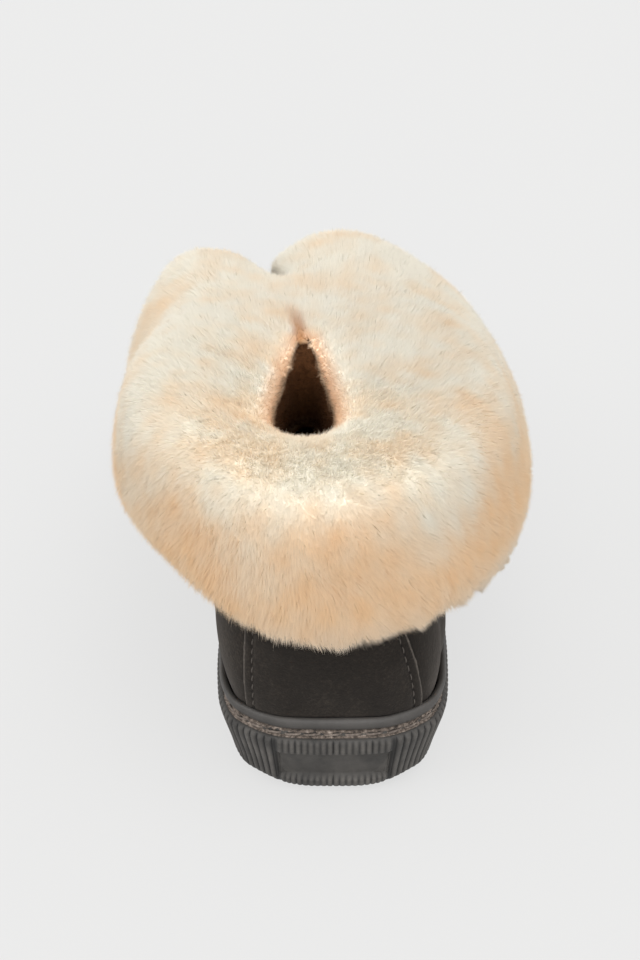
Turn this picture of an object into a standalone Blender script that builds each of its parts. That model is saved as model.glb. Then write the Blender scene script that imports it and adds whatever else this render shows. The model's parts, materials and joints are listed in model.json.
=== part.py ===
"""A right-foot bootie slipper: rubber cup sole, rand, suede upper, heel panel, fleece cuff and insole.

Metres. +Z is up, +Y points from heel to toe and +X is the outer side of the foot.
The origin is on the ground under the middle of the heel."""

import math

import bmesh
import bpy
from mathutils import Matrix, Vector

# Sole
sole_length = 0.266
ball_width = 0.096
heel_width = 0.071
heel_seat = 0.030
heel_wall_height = 0.0225
ball_wall_height = 0.0170
toe_spring = 0.0103
arch_lift = 0.0025
bottom_inset = 0.0068
corner_inset = 0.0046
heel_tuck = 0.0030
corner_rise = 0.0016
lip_bevel = 0.0006
lip_inset = 0.0002
strip_inset = 0.0012
strip_lean = 0.0004
strip_height = 0.0026
rib_inset = 0.0030
rib_foot = 0.0042
rib_head = 0.0012
rib_pitch = 0.0026
rib_depth = 0.0006
plate_width = 0.036
plate_height = 0.0105
plate_foot = 0.0060
plate_depth = 0.0011
groove_width = 0.0024
groove_depth = 0.0016
groove_pitch = 0.0095
groove_bend = 0.0040
heel_grooves = (0.055, 0.28)
forefoot_grooves = (0.57, 0.90)
groove_reach = 0.60
groove_knee = 0.25

# Upper
suede_wall = 0.0020
feather_inset = 0.0037
collar_height = 0.096
collar_width = 0.060
collar_length = 0.096
collar_back = 0.006
collar_lean = 0.006
collar_ease = 0.002
collar_round = 2.27
heel_bulge = 0.0022
quarter_bulge = 0.0100
quarter_rise = 0.026
quarter_start = 0.0234
toe_bulge = 0.010
toe_rise = 0.0374
instep_reach = 0.052
instep_drop = 0.026

# Smaller pieces
clearance = 0.0003
rand_height = 0.0042
rand_width = 0.0026
insole_thickness = 0.0045
panel_thickness = 0.0012
panel_width = 0.060
panel_height = 0.050
panel_narrowing = 0.08

# Fleece cuff
fold_depth = 0.060
fold_rise = 0.021
fleece_depth = 0.034
throat_width = 0.016
throat_length = 0.052
throat_back = 0.037
throat_shift = 0.009
lining_depth = 0.030
slit_turn = 0.541
slit_gap = 0.0010
slit_spread = 0.034
slit_lean = 0.004
lean_spread = 0.060
notch_width = 0.006
notch_depth = 0.014
hem_tuft = 0.0025
hem_dip = 0.0005
lock_length = 0.012
lock_width = 0.008
lock_tip = 0.10
lock_sink = 0.30
lock_tilt = 0.15
lock_spacing = 1.5
cuff_clearance = 0.0007
slot_room = 0.0013

side_columns = 31
upper_rows = 9
edge_steps = 24

# Shares of sole_length: where the wall gets lower, where the arch rises, where the toe lifts.
wall_from, wall_to = 0.20, 0.62
arch_from, arch_full, arch_ease, arch_to = 0.30, 0.42, 0.46, 0.56
spring_from, spring_to = 0.75, 1.10

# Sole edge, once round from the back of the heel over the outer side.
# along: share of sole_length. across: share of the width there, heel_width to ball_width.
outline_rows = (
    (0.0000, 0.000),
    (0.0026, 0.204),
    (0.0128, 0.310),
    (0.0270, 0.385),
    (0.0450, 0.447),
    (0.0750, 0.486),
    (0.1130, 0.502),
    (0.1800, 0.509),
    (0.2800, 0.511),
    (0.4000, 0.491),
    (0.5000, 0.468),
    (0.6000, 0.495),
    (0.6800, 0.505),
    (0.7600, 0.479),
    (0.8400, 0.405),
    (0.9100, 0.285),
    (0.9650, 0.118),
    (1.0000, -0.115),
    (0.9650, -0.325),
    (0.9100, -0.437),
    (0.8400, -0.487),
    (0.7600, -0.495),
    (0.6800, -0.464),
    (0.6000, -0.411),
    (0.5000, -0.375),
    (0.4000, -0.425),
    (0.2800, -0.497),
    (0.1800, -0.509),
    (0.1130, -0.502),
    (0.0750, -0.486),
    (0.0450, -0.447),
    (0.0270, -0.385),
    (0.0128, -0.310),
    (0.0026, -0.204),
)
toe_row = 17

# Cuff, from the back of the heel (0) to the toe (1) on either side of the foot.
# drop_out and drop_in: length of the fold down the outer and the inner side, shares of fold_depth.
# deep_out and deep_in: fleece outside the suede there, shares of fleece_depth.
# off: how far the hem stands off the suede, share of fleece_depth.
cuff_rows = (
    # around, drop_out, drop_in, deep_out, deep_in, off
    (0.00, 0.66, 0.66, 0.46, 0.46, 0.02),
    (0.08, 0.67, 0.60, 0.49, 0.46, 0.03),
    (0.16, 0.75, 0.54, 0.67, 0.60, 0.06),
    (0.28, 0.89, 0.66, 0.97, 0.93, 0.12),
    (0.42, 0.98, 0.86, 1.08, 1.10, 0.14),
    (0.56, 1.12, 1.08, 1.12, 1.16, 0.16),
    (0.70, 1.28, 1.34, 1.17, 1.34, 0.24),
    (0.85, 1.36, 1.42, 1.23, 1.46, 0.28),
    (1.00, 1.36, 1.38, 1.23, 1.34, 0.28),
)

# Throat, from its back (0) round either side to its point (1).
# wide: share of half the throat_width. deep: share of throat_length from its back edge.
throat_rows = (
    (0.00, 0.00, 0.00),
    (0.12, 0.62, 0.01),
    (0.25, 1.00, 0.10),
    (0.50, 0.95, 0.36),
    (0.75, 0.62, 0.68),
    (1.00, 0.00, 1.00),
)


def smooth(value, start, end):
    share = min(max((value - start) / (end - start), 0.0), 1.0)
    return share * share * (3.0 - 2.0 * share)


def blend(first, second, share):
    return first + (second - first) * share


def table_value(rows, key, column):
    """A smooth curve through one column of a table whose first column is the key."""
    keys = [row[0] for row in rows]
    values = [row[column] for row in rows]
    last = len(rows) - 1
    place = 0
    while place < last - 1 and key > keys[place + 1]:
        place += 1
    step = keys[place + 1] - keys[place]
    share = min(max((key - keys[place]) / step, 0.0), 1.0)

    def slope(index):
        before = max(index - 1, 0)
        after = min(index + 1, last)
        return (values[after] - values[before]) / (keys[after] - keys[before])

    square, cube = share * share, share * share * share
    return (
        values[place] * (2 * cube - 3 * square + 1)
        + values[place + 1] * (3 * square - 2 * cube)
        + slope(place) * step * (cube - 2 * square + share)
        + slope(place + 1) * step * (cube - square)
    )


def closed_curve(points, steps):
    """A smooth closed line through points, with steps short pieces between two of them."""
    count = len(points)
    line = []
    for index in range(count):
        before, start = points[index - 1], points[index]
        end, after = points[(index + 1) % count], points[(index + 2) % count]
        for step in range(steps):
            t = step / steps
            line.append(
                0.5
                * (
                    2 * start
                    + (end - before) * t
                    + (2 * before - 5 * start + 4 * end - after) * t * t
                    + (3 * start - before - 3 * end + after) * t * t * t
                )
            )
    return line


def sole_edge():
    points = []
    for along, across in outline_rows:
        width = blend(heel_width, ball_width, smooth(along, 0.30, 0.55))
        points.append(Vector((across * width, along * sole_length - heel_seat)))
    return points


edge_line = closed_curve(sole_edge(), edge_steps)
outer_half = edge_line[: toe_row * edge_steps + 1]
inner_half = [edge_line[0]] + edge_line[: toe_row * edge_steps - 1 : -1]


def point_along(line, share):
    lengths = [0.0]
    for first, second in zip(line, line[1:]):
        lengths.append(lengths[-1] + (second - first).length)
    wanted = min(max(share, 0.0), 1.0) * lengths[-1]
    place = 0
    while place < len(line) - 2 and lengths[place + 1] < wanted:
        place += 1
    part = (wanted - lengths[place]) / (lengths[place + 1] - lengths[place])
    return line[place].lerp(line[place + 1], part)


def from_heel(turn):
    """A turn round the shoe (0 heel, 0.5 toe) as the share of the way to the toe, and its side."""
    turn = turn % 1.0
    return (2 * turn, 1) if turn <= 0.5 else (2 - 2 * turn, -1)


edge_store = {}


def edge_point(turn):
    key = round(turn % 1.0, 9)
    if key not in edge_store:
        share, side = from_heel(key)
        edge_store[key] = point_along(outer_half if side > 0 else inner_half, share)
    return edge_store[key]


def edge_normal(turn):
    near = 0.004
    ahead = edge_point(turn + near) - edge_point(turn - near)
    return Vector((ahead.y, -ahead.x)).normalized()


def inset_point(turn, inset):
    return edge_point(turn) - edge_normal(turn) * inset


def along_of(y):
    return (y + heel_seat) / sole_length


def toe_lift(y):
    """Reaches toe_spring at the tip of the toe."""
    at_tip = smooth(1.0, spring_from, spring_to)
    return toe_spring * smooth(along_of(y), spring_from, spring_to) / at_tip


def ledge_height(y):
    """Top of the sole's wall."""
    lower = smooth(along_of(y), wall_from, wall_to)
    return blend(heel_wall_height, ball_wall_height, lower) + toe_lift(y)


def seat_height(y):
    """Top of the stitched strip that stands on the wall; the upper, rand and insole sit on it."""
    return ledge_height(y) + strip_height


def ground_lift(y):
    """Underside of the sole: flat under heel and ball, raised at the arch and the toe."""
    along = along_of(y)
    arch = arch_lift * smooth(along, arch_from, arch_full) * (1.0 - smooth(along, arch_ease, arch_to))
    return arch + toe_lift(y)


# Columns round the shoe, closer together at the heel than at the toe
column_turns = []
for step in range(side_columns):
    part = step / side_columns
    column_turns.append(0.25 * (part + part * part))
column_turns += [0.5] + [1.0 - turn for turn in reversed(column_turns[1:])]


def round_collar(share):
    """Way round the collar for a way along the sole's edge: the collar sits over the heel half."""
    return 1.0 - (1.0 - share) ** collar_round


def collar_point(turn):
    share, side = from_heel(turn)
    angle = math.pi * round_collar(share)
    x = side * 0.5 * collar_width * math.sin(angle) - collar_lean
    y = collar_back - heel_seat + 0.5 * collar_length * (1.0 - math.cos(angle))
    return Vector((x, y, collar_height))


def collar_outward(turn):
    share, side = from_heel(turn)
    angle = math.pi * round_collar(share)
    x = side * math.sin(angle) / collar_width
    y = -math.cos(angle) / collar_length
    return Vector((x, y, 0.0)).normalized()


def column_curve(turn, rise):
    """The suede's outer face: one curve from the feather edge up to the collar."""
    share, _ = from_heel(turn)
    foot = inset_point(turn, feather_inset)
    start = Vector((foot.x, foot.y, seat_height(foot.y) + clearance))
    out = edge_normal(turn).to_3d()
    front = smooth(share, 0.25, 0.95)
    middle = smooth(share, 0.03, 0.14) * (1.0 - smooth(share, 0.60, 1.0))
    bulge = blend(blend(heel_bulge, toe_bulge, front), quarter_bulge, middle)
    start_handle = start + out * bulge
    start_handle.z += blend(quarter_start, toe_rise, front)
    end = collar_point(turn)
    end_handle = end + collar_outward(turn) * blend(collar_ease, instep_reach, front)
    end_handle.z -= blend(quarter_rise, instep_drop, front)
    back = 1.0 - rise
    return (
        start * back**3
        + start_handle * (3 * back * back * rise)
        + end_handle * (3 * back * rise * rise)
        + end * rise**3
    )


def skin_normal(turn, rise):
    near_up, near_round = 0.02, 0.006
    low, high = max(rise - near_up, 0.0), min(rise + near_up, 1.0)
    up = column_curve(turn, high) - column_curve(turn, low)
    round_it = column_curve(turn + near_round, rise) - column_curve(turn - near_round, rise)
    return round_it.cross(up).normalized()


def skin(turn, rise, out=0.0):
    return column_curve(turn, rise) + skin_normal(turn, rise) * out


def rise_at(turn, wanted, measure):
    """The rise of the column where measure(turn, rise), which grows with it, reaches wanted."""
    low, high = 0.0, 1.0
    for _ in range(30):
        middle = 0.5 * (low + high)
        if measure(turn, middle) < wanted:
            low = middle
        else:
            high = middle
    return 0.5 * (low + high)


def height_above_seat(turn, rise):
    return column_curve(turn, rise).z - column_curve(turn, 0.0).z


def drop_rise(turn, drop):
    """The rise that lies drop below the collar, measured down the suede."""
    steps = 60
    last = column_curve(turn, 1.0)
    gone = 0.0
    for step in range(1, steps + 1):
        rise = 1.0 - step / steps
        here = column_curve(turn, rise)
        length = (here - last).length
        if gone + length >= drop:
            return rise + (1.0 - (drop - gone) / length) / steps
        gone += length
        last = here
    return 0.0


# Scene, collections and materials
for item in list(bpy.data.objects):
    bpy.data.objects.remove(item, do_unlink=True)

parts = bpy.data.collections.new("bootie_slipper")
cutters = bpy.data.collections.new("cutters")
bpy.context.scene.collection.children.link(parts)
bpy.context.scene.collection.children.link(cutters)


def material(name, colour, roughness):
    made = bpy.data.materials.new(name)
    made.use_nodes = True
    shader = made.node_tree.nodes["Principled BSDF"]
    shader.inputs["Base Color"].default_value = (*colour, 1.0)
    shader.inputs["Roughness"].default_value = roughness
    shader.inputs["Metallic"].default_value = 0.0
    return made


def finish_object(name, mesh_data, look, home=parts):
    mesh = bpy.data.meshes.new(name)
    bmesh.ops.recalc_face_normals(mesh_data, faces=mesh_data.faces[:])
    mesh_data.to_mesh(mesh)
    mesh_data.free()
    item = bpy.data.objects.new(name, mesh)
    if look is not None:
        mesh.materials.append(look)
    home.objects.link(item)
    if home is cutters:
        item.hide_render = True
        item.display_type = "WIRE"
    return item


def add_ring(mesh_data, points):
    return [mesh_data.verts.new(point) for point in points]


def join_rings(mesh_data, first, second, closed=True):
    count = len(first)
    for index in range(count if closed else count - 1):
        after = (index + 1) % count
        mesh_data.faces.new((first[index], first[after], second[after], second[index]))


def ladder(mesh_data, ring):
    """Closes a ring round the foot with strips that run across it."""
    count = len(ring)
    half = count // 2
    mesh_data.faces.new((ring[0], ring[1], ring[count - 1]))
    for index in range(1, half - 1):
        mesh_data.faces.new((ring[index], ring[index + 1], ring[count - index - 1], ring[count - index]))
    mesh_data.faces.new((ring[half - 1], ring[half], ring[half + 1]))


def stitch(mesh_data, first, first_turns, second, second_turns):
    """Joins two rings of unlike counts with triangles."""
    i = j = 0
    while i < len(first) or j < len(second):
        next_i = first_turns[i + 1] if i + 1 < len(first) else 1.0 + first_turns[0]
        next_j = second_turns[j + 1] if j + 1 < len(second) else 1.0 + second_turns[0]
        here, there = first[i % len(first)], second[j % len(second)]
        if j >= len(second) or (i < len(first) and next_i <= next_j):
            mesh_data.faces.new((here, first[(i + 1) % len(first)], there))
            i += 1
        else:
            mesh_data.faces.new((here, second[(j + 1) % len(second)], there))
            j += 1


def tucked_point(turn, inset, tuck):
    """A point of the sole's wall, which leans in farther at the two corners of the heel."""
    share, _ = from_heel(turn)
    corner = smooth(share, 0.02, 0.09) * (1.0 - smooth(share, 0.11, 0.26))
    return inset_point(turn, inset + heel_tuck * corner * tuck)


def sole_ring(inset, height, tuck=0.0):
    """One ring of the sole: height is a function of y."""
    points = []
    for turn in column_turns:
        point = tucked_point(turn, inset, tuck)
        points.append(Vector((point.x, point.y, height(point.y))))
    return points


# Outsole
rubber = material("sole_rubber", (0.082, 0.074, 0.067), 0.72)
sole_mesh = bmesh.new()
half_edge = 0.5 * sum((b - a).length for a, b in zip(edge_line, edge_line[1:] + edge_line[:1]))
rib_count = 2 * round(half_edge / rib_pitch)
rib_turns = [index / (2 * rib_count) for index in range(2 * rib_count)]


def rib_ring(inset, height, tuck=0.0):
    points = []
    for index, turn in enumerate(rib_turns):
        point = tucked_point(turn, inset + rib_depth * (index % 2), tuck)
        points.append(Vector((point.x, point.y, height(point.y))))
    return points


top_inner = add_ring(sole_mesh, sole_ring(2.0 * feather_inset, seat_height))
strip_top = add_ring(sole_mesh, sole_ring(strip_inset + strip_lean, seat_height))
strip_foot = add_ring(sole_mesh, sole_ring(strip_inset, ledge_height))
ledge_ring = add_ring(sole_mesh, sole_ring(lip_bevel, ledge_height))
lip_ring = add_ring(sole_mesh, sole_ring(0.0, lambda y: ledge_height(y) - lip_bevel))
rib_top = add_ring(sole_mesh, rib_ring(lip_inset, lambda y: ledge_height(y) - rib_head))
rib_bottom = add_ring(sole_mesh, rib_ring(rib_inset, lambda y: ground_lift(y) + rib_foot, 0.6))
curl_ring = add_ring(sole_mesh, sole_ring(corner_inset, lambda y: ground_lift(y) + corner_rise, 0.85))
bottom_ring = add_ring(sole_mesh, sole_ring(bottom_inset, ground_lift, 1.0))
ladder(sole_mesh, top_inner)
join_rings(sole_mesh, top_inner, strip_top)
join_rings(sole_mesh, strip_top, strip_foot)
join_rings(sole_mesh, strip_foot, ledge_ring)
join_rings(sole_mesh, ledge_ring, lip_ring)
stitch(sole_mesh, lip_ring, column_turns, rib_top, rib_turns)
join_rings(sole_mesh, rib_top, rib_bottom)
stitch(sole_mesh, curl_ring, column_turns, rib_bottom, rib_turns)
join_rings(sole_mesh, curl_ring, bottom_ring)
ladder(sole_mesh, bottom_ring)
outsole = finish_object("outsole", sole_mesh, rubber)

# Lug grooves across the heel and the forefoot, in a zigzag with its knees forward
groove_mesh = bmesh.new()


def add_groove(middle_y):
    reach, knee = groove_reach * ball_width, groove_knee * ball_width
    path = ((-reach, 0.0), (-knee, groove_bend), (0.0, 0.0), (knee, groove_bend), (reach, 0.0))
    lift = ground_lift(middle_y)
    below = -2.0 * groove_depth
    rings = []
    for x, ahead in path:
        corners = []
        for side, height in ((-0.5, below), (0.5, below), (0.5, groove_depth), (-0.5, groove_depth)):
            corners.append(Vector((x, middle_y + ahead + side * groove_width, lift + height)))
        rings.append(add_ring(groove_mesh, corners))
    for first, second in zip(rings, rings[1:]):
        join_rings(groove_mesh, first, second)
    groove_mesh.faces.new(rings[0])
    groove_mesh.faces.new(rings[-1])


for first, last in (heel_grooves, forefoot_grooves):
    count = int((last - first) * sole_length / groove_pitch)
    for index in range(count + 1):
        add_groove(first * sole_length - heel_seat + index * groove_pitch)
grooves = finish_object("lug_grooves", groove_mesh, None, cutters)

# Plate at the back of the heel: the ribs are cut away there
plate_mesh = bmesh.new()
plate_rings = []
plate_steps = 8
for step in range(plate_steps + 1):
    reach = (step / plate_steps - 0.5) * plate_width
    turn = reach / (2 * half_edge)
    corners = []
    for share_up in (0.0, 1.0):
        height = plate_foot + share_up * plate_height
        wall_share = (height - rib_foot) / (heel_wall_height - rib_head - rib_foot)
        face_inset = blend(rib_inset, lip_inset, wall_share)
        inner = inset_point(turn, face_inset + plate_depth)
        outer = inset_point(turn, face_inset - 4.0 * plate_depth)
        pair = [Vector((inner.x, inner.y, height)), Vector((outer.x, outer.y, height))]
        corners += pair if share_up == 0.0 else pair[::-1]
    plate_rings.append(add_ring(plate_mesh, corners))
for first, second in zip(plate_rings, plate_rings[1:]):
    join_rings(plate_mesh, first, second)
plate_mesh.faces.new(plate_rings[0])
plate_mesh.faces.new(plate_rings[-1])
plate = finish_object("heel_plate_cut", plate_mesh, None, cutters)

for cutter in (grooves, plate):
    cut = outsole.modifiers.new("cut_" + cutter.name, "BOOLEAN")
    cut.operation = "DIFFERENCE"
    cut.solver = "EXACT"
    cut.object = cutter

# Rand: a rounded strip round the foot of the upper
rand_rubber = material("rand_rubber", (0.090, 0.081, 0.072), 0.62)
rand_mesh = bmesh.new()
rand_rings = []
rand_section = ((0.0, 0.0), (1.0, 0.0), (1.0, 0.62), (0.72, 0.95), (0.30, 1.0), (0.0, 0.86))
for out_share, up_share in rand_section:
    points = []
    for turn in column_turns:
        rise = rise_at(turn, up_share * rand_height, height_above_seat)
        point = skin(turn, rise, clearance) + edge_normal(turn).to_3d() * (out_share * rand_width)
        point.z = seat_height(point.y) + clearance + up_share * rand_height
        points.append(point)
    rand_rings.append(add_ring(rand_mesh, points))
for index, ring in enumerate(rand_rings):
    join_rings(rand_mesh, ring, rand_rings[(index + 1) % len(rand_rings)])
finish_object("rand", rand_mesh, rand_rubber)

# Upper: an open surface from feather edge to collar, given its wall by Solidify
suede = material("suede", (0.036, 0.028, 0.022), 0.95)
upper_mesh = bmesh.new()
upper_rings = []
for row in range(upper_rows + 1):
    rise = row / upper_rows
    upper_rings.append(add_ring(upper_mesh, [column_curve(turn, rise) for turn in column_turns]))
for first, second in zip(upper_rings, upper_rings[1:]):
    join_rings(upper_mesh, first, second)
upper = finish_object("upper", upper_mesh, suede)
wall = upper.modifiers.new("wall", "SOLIDIFY")
wall.thickness = suede_wall
wall.offset = -1.0
wall.use_even_offset = True

# Heel panel: the same surface a little farther out, between the two back seams
panel_mesh = bmesh.new()
panel_columns = 10
panel_rows = 8
panel_faces = []
for depth in (clearance, clearance + panel_thickness):
    grid = []
    for row in range(panel_rows + 1):
        height = blend(rand_height + 2 * clearance, panel_height, row / panel_rows)
        line = []
        for column in range(panel_columns + 1):
            across = column / panel_columns - 0.5
            width = panel_width * (1.0 - panel_narrowing * row / panel_rows)
            turn = across * width / (2 * half_edge)
            line.append(skin(turn, rise_at(turn, height, height_above_seat), depth))
        grid.append(add_ring(panel_mesh, line))
    panel_faces.append(grid)
for grid in panel_faces:
    for first, second in zip(grid, grid[1:]):
        join_rings(panel_mesh, first, second, closed=False)


def border(grid):
    left = [line[0] for line in grid[1:-1]]
    right = [line[-1] for line in grid[1:-1]]
    return grid[0] + right + grid[-1][::-1] + left[::-1]


join_rings(panel_mesh, border(panel_faces[0]), border(panel_faces[1]))
finish_object("heel_panel", panel_mesh, suede)

# Insole
footbed = material("footbed", (0.16, 0.085, 0.045), 0.95)
insole_mesh = bmesh.new()
insole_inset = feather_inset + suede_wall + 3 * clearance
insole_low = add_ring(
    insole_mesh, sole_ring(insole_inset, lambda y: seat_height(y) + clearance)
)
insole_high = add_ring(
    insole_mesh, sole_ring(insole_inset, lambda y: seat_height(y) + clearance + insole_thickness)
)
join_rings(insole_mesh, insole_low, insole_high)
ladder(insole_mesh, insole_low)
ladder(insole_mesh, insole_high)
finish_object("insole", insole_mesh, footbed)

# Cuff: a closed section that rides over the collar, carried round from one side of the slit to the other
fleece = material("fleece", (0.80, 0.70, 0.56), 0.95)


def throat_point(turn):
    share, side = from_heel(turn)
    around = round_collar(share)
    wide = table_value(throat_rows, around, 1) * 0.5 * throat_width
    deep = table_value(throat_rows, around, 2) * throat_length
    return Vector((side * wide - throat_shift, throat_back - heel_seat + deep, collar_height))


# up: share of the fold's length above the hem. side and front: share of the fleece's depth at the sides
# and over the instep. open: share of the notch's width and depth at the slit.
outer_leg = (
    # up, side, front, open
    (0.00, 0.40, 0.46, 1.00),
    (0.10, 0.74, 0.80, 1.00),
    (0.30, 0.94, 1.00, 0.90),
    (0.60, 1.00, 0.90, 0.75),
    (0.85, 0.98, 0.64, 0.60),
)
roll_rows = (
    # angle: degrees from outward over the top to inward, open
    (20, 0.50),
    (52, 0.36),
    (90, 0.20),
    (122, 0.12),
    (150, 0.10),
    (172, 0.10),
)
roll_fullness = 0.55
front_from = 0.45
front_to = 0.80


def cuff_section(turn, shorter=0.0):
    """The section's points, each with how far it opens at the slit, 0 to 1."""
    share, side = from_heel(turn)
    drop = table_value(cuff_rows, share, 1 if side > 0 else 2) * fold_depth - shorter
    depth = table_value(cuff_rows, share, 3 if side > 0 else 4) * fleece_depth
    off = table_value(cuff_rows, share, 5) * fleece_depth
    hem = drop_rise(turn, drop)
    over_instep = smooth(share, front_from, front_to)
    points = []
    for up_share, at_side, at_front, opening in outer_leg:
        rise = blend(hem, 1.0, up_share)
        points.append((skin(turn, rise, depth * blend(at_side, at_front, over_instep)), opening))
    shoulder = points[-1][0]
    ridge = skin(turn, 1.0, -0.5 * suede_wall)
    throat = throat_point(turn)
    for angle, opening in roll_rows:
        turned = math.radians(angle)
        if angle <= 90:
            point = ridge.lerp(shoulder, math.cos(turned) ** 0.8)
            foot = shoulder.z
        else:
            point = ridge.lerp(throat, (-math.cos(turned)) ** roll_fullness)
            foot = collar_height
        point.z = blend(foot, collar_height + fold_rise, math.sin(turned) ** roll_fullness)
        points.append((point, opening))
    inner_rise = drop_rise(turn, lining_depth)
    lining_foot = skin(turn, inner_rise, -suede_wall - slot_room)
    throat_low = throat.copy()
    throat_low.z = blend(collar_height, lining_foot.z, 0.55)
    points.append((throat_low, 0.1))
    points.append((lining_foot.lerp(Vector((throat.x, throat.y, lining_foot.z)), 0.35), 0.1))
    points.append((lining_foot, 0.0))
    for up_share in (0.35, 0.7):
        points.append((skin(turn, blend(inner_rise, 1.0, up_share), -suede_wall - slot_room), 0.0))
    over_rim = (column_curve(turn, 1.0) - column_curve(turn, 0.97)).normalized() * cuff_clearance
    points.append((skin(turn, 1.0, -suede_wall - slot_room) + over_rim, 0.0))
    points.append((skin(turn, 1.0, slot_room) + over_rim, 0.0))
    for up_share in (0.88, 0.65, 0.35, 0.08):
        rise = blend(hem, 1.0, up_share)
        lift = panel_thickness + clearance + cuff_clearance + off * (1.0 - up_share) ** 1.5
        points.append((skin(turn, rise, lift), 0.0))
    return points


slit_section = cuff_section(slit_turn)
slit_base = column_curve(slit_turn, 1.0)
slit_ahead = column_curve(slit_turn, drop_rise(slit_turn, fold_depth)) - slit_base
slit_side = Vector((slit_ahead.y, -slit_ahead.x, 0.0)).normalized()
slit_ahead.z = 0.0
slit_length = slit_ahead.length
slit_ahead.normalize()


def opened(section, side):
    """Parts a section from the slit, which leans over and sinks towards the front of the fleece."""
    moved = []
    for (point, opening), (middle, _) in zip(section, slit_section):
        away = max((point - middle).dot(slit_side) * side, 0.0)
        forward = (point - slit_base).dot(slit_ahead) / slit_length
        if forward > -0.04 and away < slit_spread:
            near = 1.0 - away / slit_spread
            gap = 0.5 * slit_gap + 0.5 * notch_width * opening
            point = point + slit_side * (side * gap * near)
            point.z -= notch_depth * opening * near**1.5
        if opening > 0.0 and away < lean_spread:
            lean = slit_lean * smooth(forward, 0.0, 1.0) * (1.0 - away / lean_spread)
            point = point - slit_side * lean
        moved.append(point)
    return moved


cuff_mesh = bmesh.new()
end_turn = 0.004
next_turn = 2.5 * end_turn
first_turn, last_turn = slit_turn - 1.0, slit_turn
station_turns = [first_turn + end_turn, last_turn - end_turn]
for turn in column_turns + [turn - 1.0 for turn in column_turns]:
    if first_turn + next_turn < turn < last_turn - next_turn:
        station_turns.append(turn)
station_turns.sort()
cuff_rings = []
for index, turn in enumerate(station_turns):
    side = -1 if turn < slit_turn - 0.5 else 1
    shorter = hem_tuft if index % 2 else -hem_dip
    cuff_rings.append(add_ring(cuff_mesh, opened(cuff_section(turn, shorter), side)))
for first, second in zip(cuff_rings, cuff_rings[1:]):
    join_rings(cuff_mesh, first, second)
cuff_mesh.faces.new(cuff_rings[0])
cuff_mesh.faces.new(cuff_rings[-1])
cuff = finish_object("cuff", cuff_mesh, fleece)

# Locks of fleece fused on: pointed tufts that lie down along the fold, closest at the hem
lock_rows = (
    # up: share of the fold above the hem, every: stations from one lock to the next
    (0.09, 2),
    (0.32, 5),
    (0.62, 6),
)
lock_mesh = bmesh.new()
lock_feet = []
look_up = 0.12
leg_shares = [row[0] for row in outer_leg]


def leg_point(ring, up_share):
    place = 0
    while place < len(leg_shares) - 2 and up_share > leg_shares[place + 1]:
        place += 1
    part = (up_share - leg_shares[place]) / (leg_shares[place + 1] - leg_shares[place])
    return ring[place].lerp(ring[place + 1], part)


cuff_points = []
for turn in station_turns:
    side = -1 if turn < slit_turn - 0.5 else 1
    cuff_points.append(opened(cuff_section(turn), side))
for order, (up_share, every) in enumerate(lock_rows):
    for index in range(2 + order, len(cuff_points) - 2, every):
        foot = leg_point(cuff_points[index], up_share)
        down = (foot - leg_point(cuff_points[index], up_share + look_up)).normalized()
        round_it = leg_point(cuff_points[index + 1], up_share) - leg_point(cuff_points[index - 1], up_share)
        out = round_it.cross(-down).normalized()
        if any((foot - other).length < lock_spacing * lock_width for other in lock_feet):
            continue
        lock_feet.append(foot)
        aim = (down + lock_tilt * out).normalized()
        middle = foot - out * (lock_sink * lock_width) + aim * (0.25 * lock_length)
        turn_to = aim.to_track_quat("Z", "Y").to_matrix().to_4x4()
        bmesh.ops.create_cone(
            lock_mesh,
            cap_ends=True,
            segments=5,
            radius1=0.5 * lock_width,
            radius2=lock_tip * lock_width,
            depth=lock_length,
            matrix=Matrix.Translation(middle) @ turn_to,
        )
locks = finish_object("fleece_locks", lock_mesh, None, cutters)
fuse = cuff.modifiers.new("fuse_locks", "BOOLEAN")
fuse.operation = "UNION"
fuse.solver = "EXACT"
fuse.object = locks
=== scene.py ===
# %% [markdown]
# # A bootie slipper with a folded fleece cuff
# One right shoe, seen from behind and above: a ribbed rubber cup sole, a rubber rand, a dark
# suede upper with a sewn heel panel, and a deep pale fleece cuff folded down over it.
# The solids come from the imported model. This script dresses them: each visible piece is built
# from the same curves as its solid, only much finer.

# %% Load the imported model
import math

import bmesh
import bpy
import json
import numpy as np
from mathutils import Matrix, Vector
from mathutils.bvhtree import BVHTree
from mathutils.kdtree import KDTree

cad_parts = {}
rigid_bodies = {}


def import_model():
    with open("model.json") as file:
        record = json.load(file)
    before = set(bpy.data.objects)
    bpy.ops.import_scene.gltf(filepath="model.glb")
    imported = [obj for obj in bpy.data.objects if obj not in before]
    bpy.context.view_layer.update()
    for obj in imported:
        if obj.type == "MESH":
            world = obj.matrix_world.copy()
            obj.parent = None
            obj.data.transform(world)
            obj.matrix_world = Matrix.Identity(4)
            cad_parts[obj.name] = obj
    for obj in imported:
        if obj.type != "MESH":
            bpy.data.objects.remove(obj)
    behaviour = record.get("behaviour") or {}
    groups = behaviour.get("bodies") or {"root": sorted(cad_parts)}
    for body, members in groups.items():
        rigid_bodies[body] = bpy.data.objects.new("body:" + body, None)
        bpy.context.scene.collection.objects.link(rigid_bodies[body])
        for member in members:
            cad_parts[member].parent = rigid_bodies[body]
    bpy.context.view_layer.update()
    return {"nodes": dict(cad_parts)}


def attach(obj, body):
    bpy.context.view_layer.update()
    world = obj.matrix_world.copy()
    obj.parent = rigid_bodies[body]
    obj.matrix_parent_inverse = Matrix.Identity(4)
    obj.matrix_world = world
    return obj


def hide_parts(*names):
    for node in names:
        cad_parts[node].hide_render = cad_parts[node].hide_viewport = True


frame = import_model()
nodes = frame["nodes"]
mm = 0.001

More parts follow.
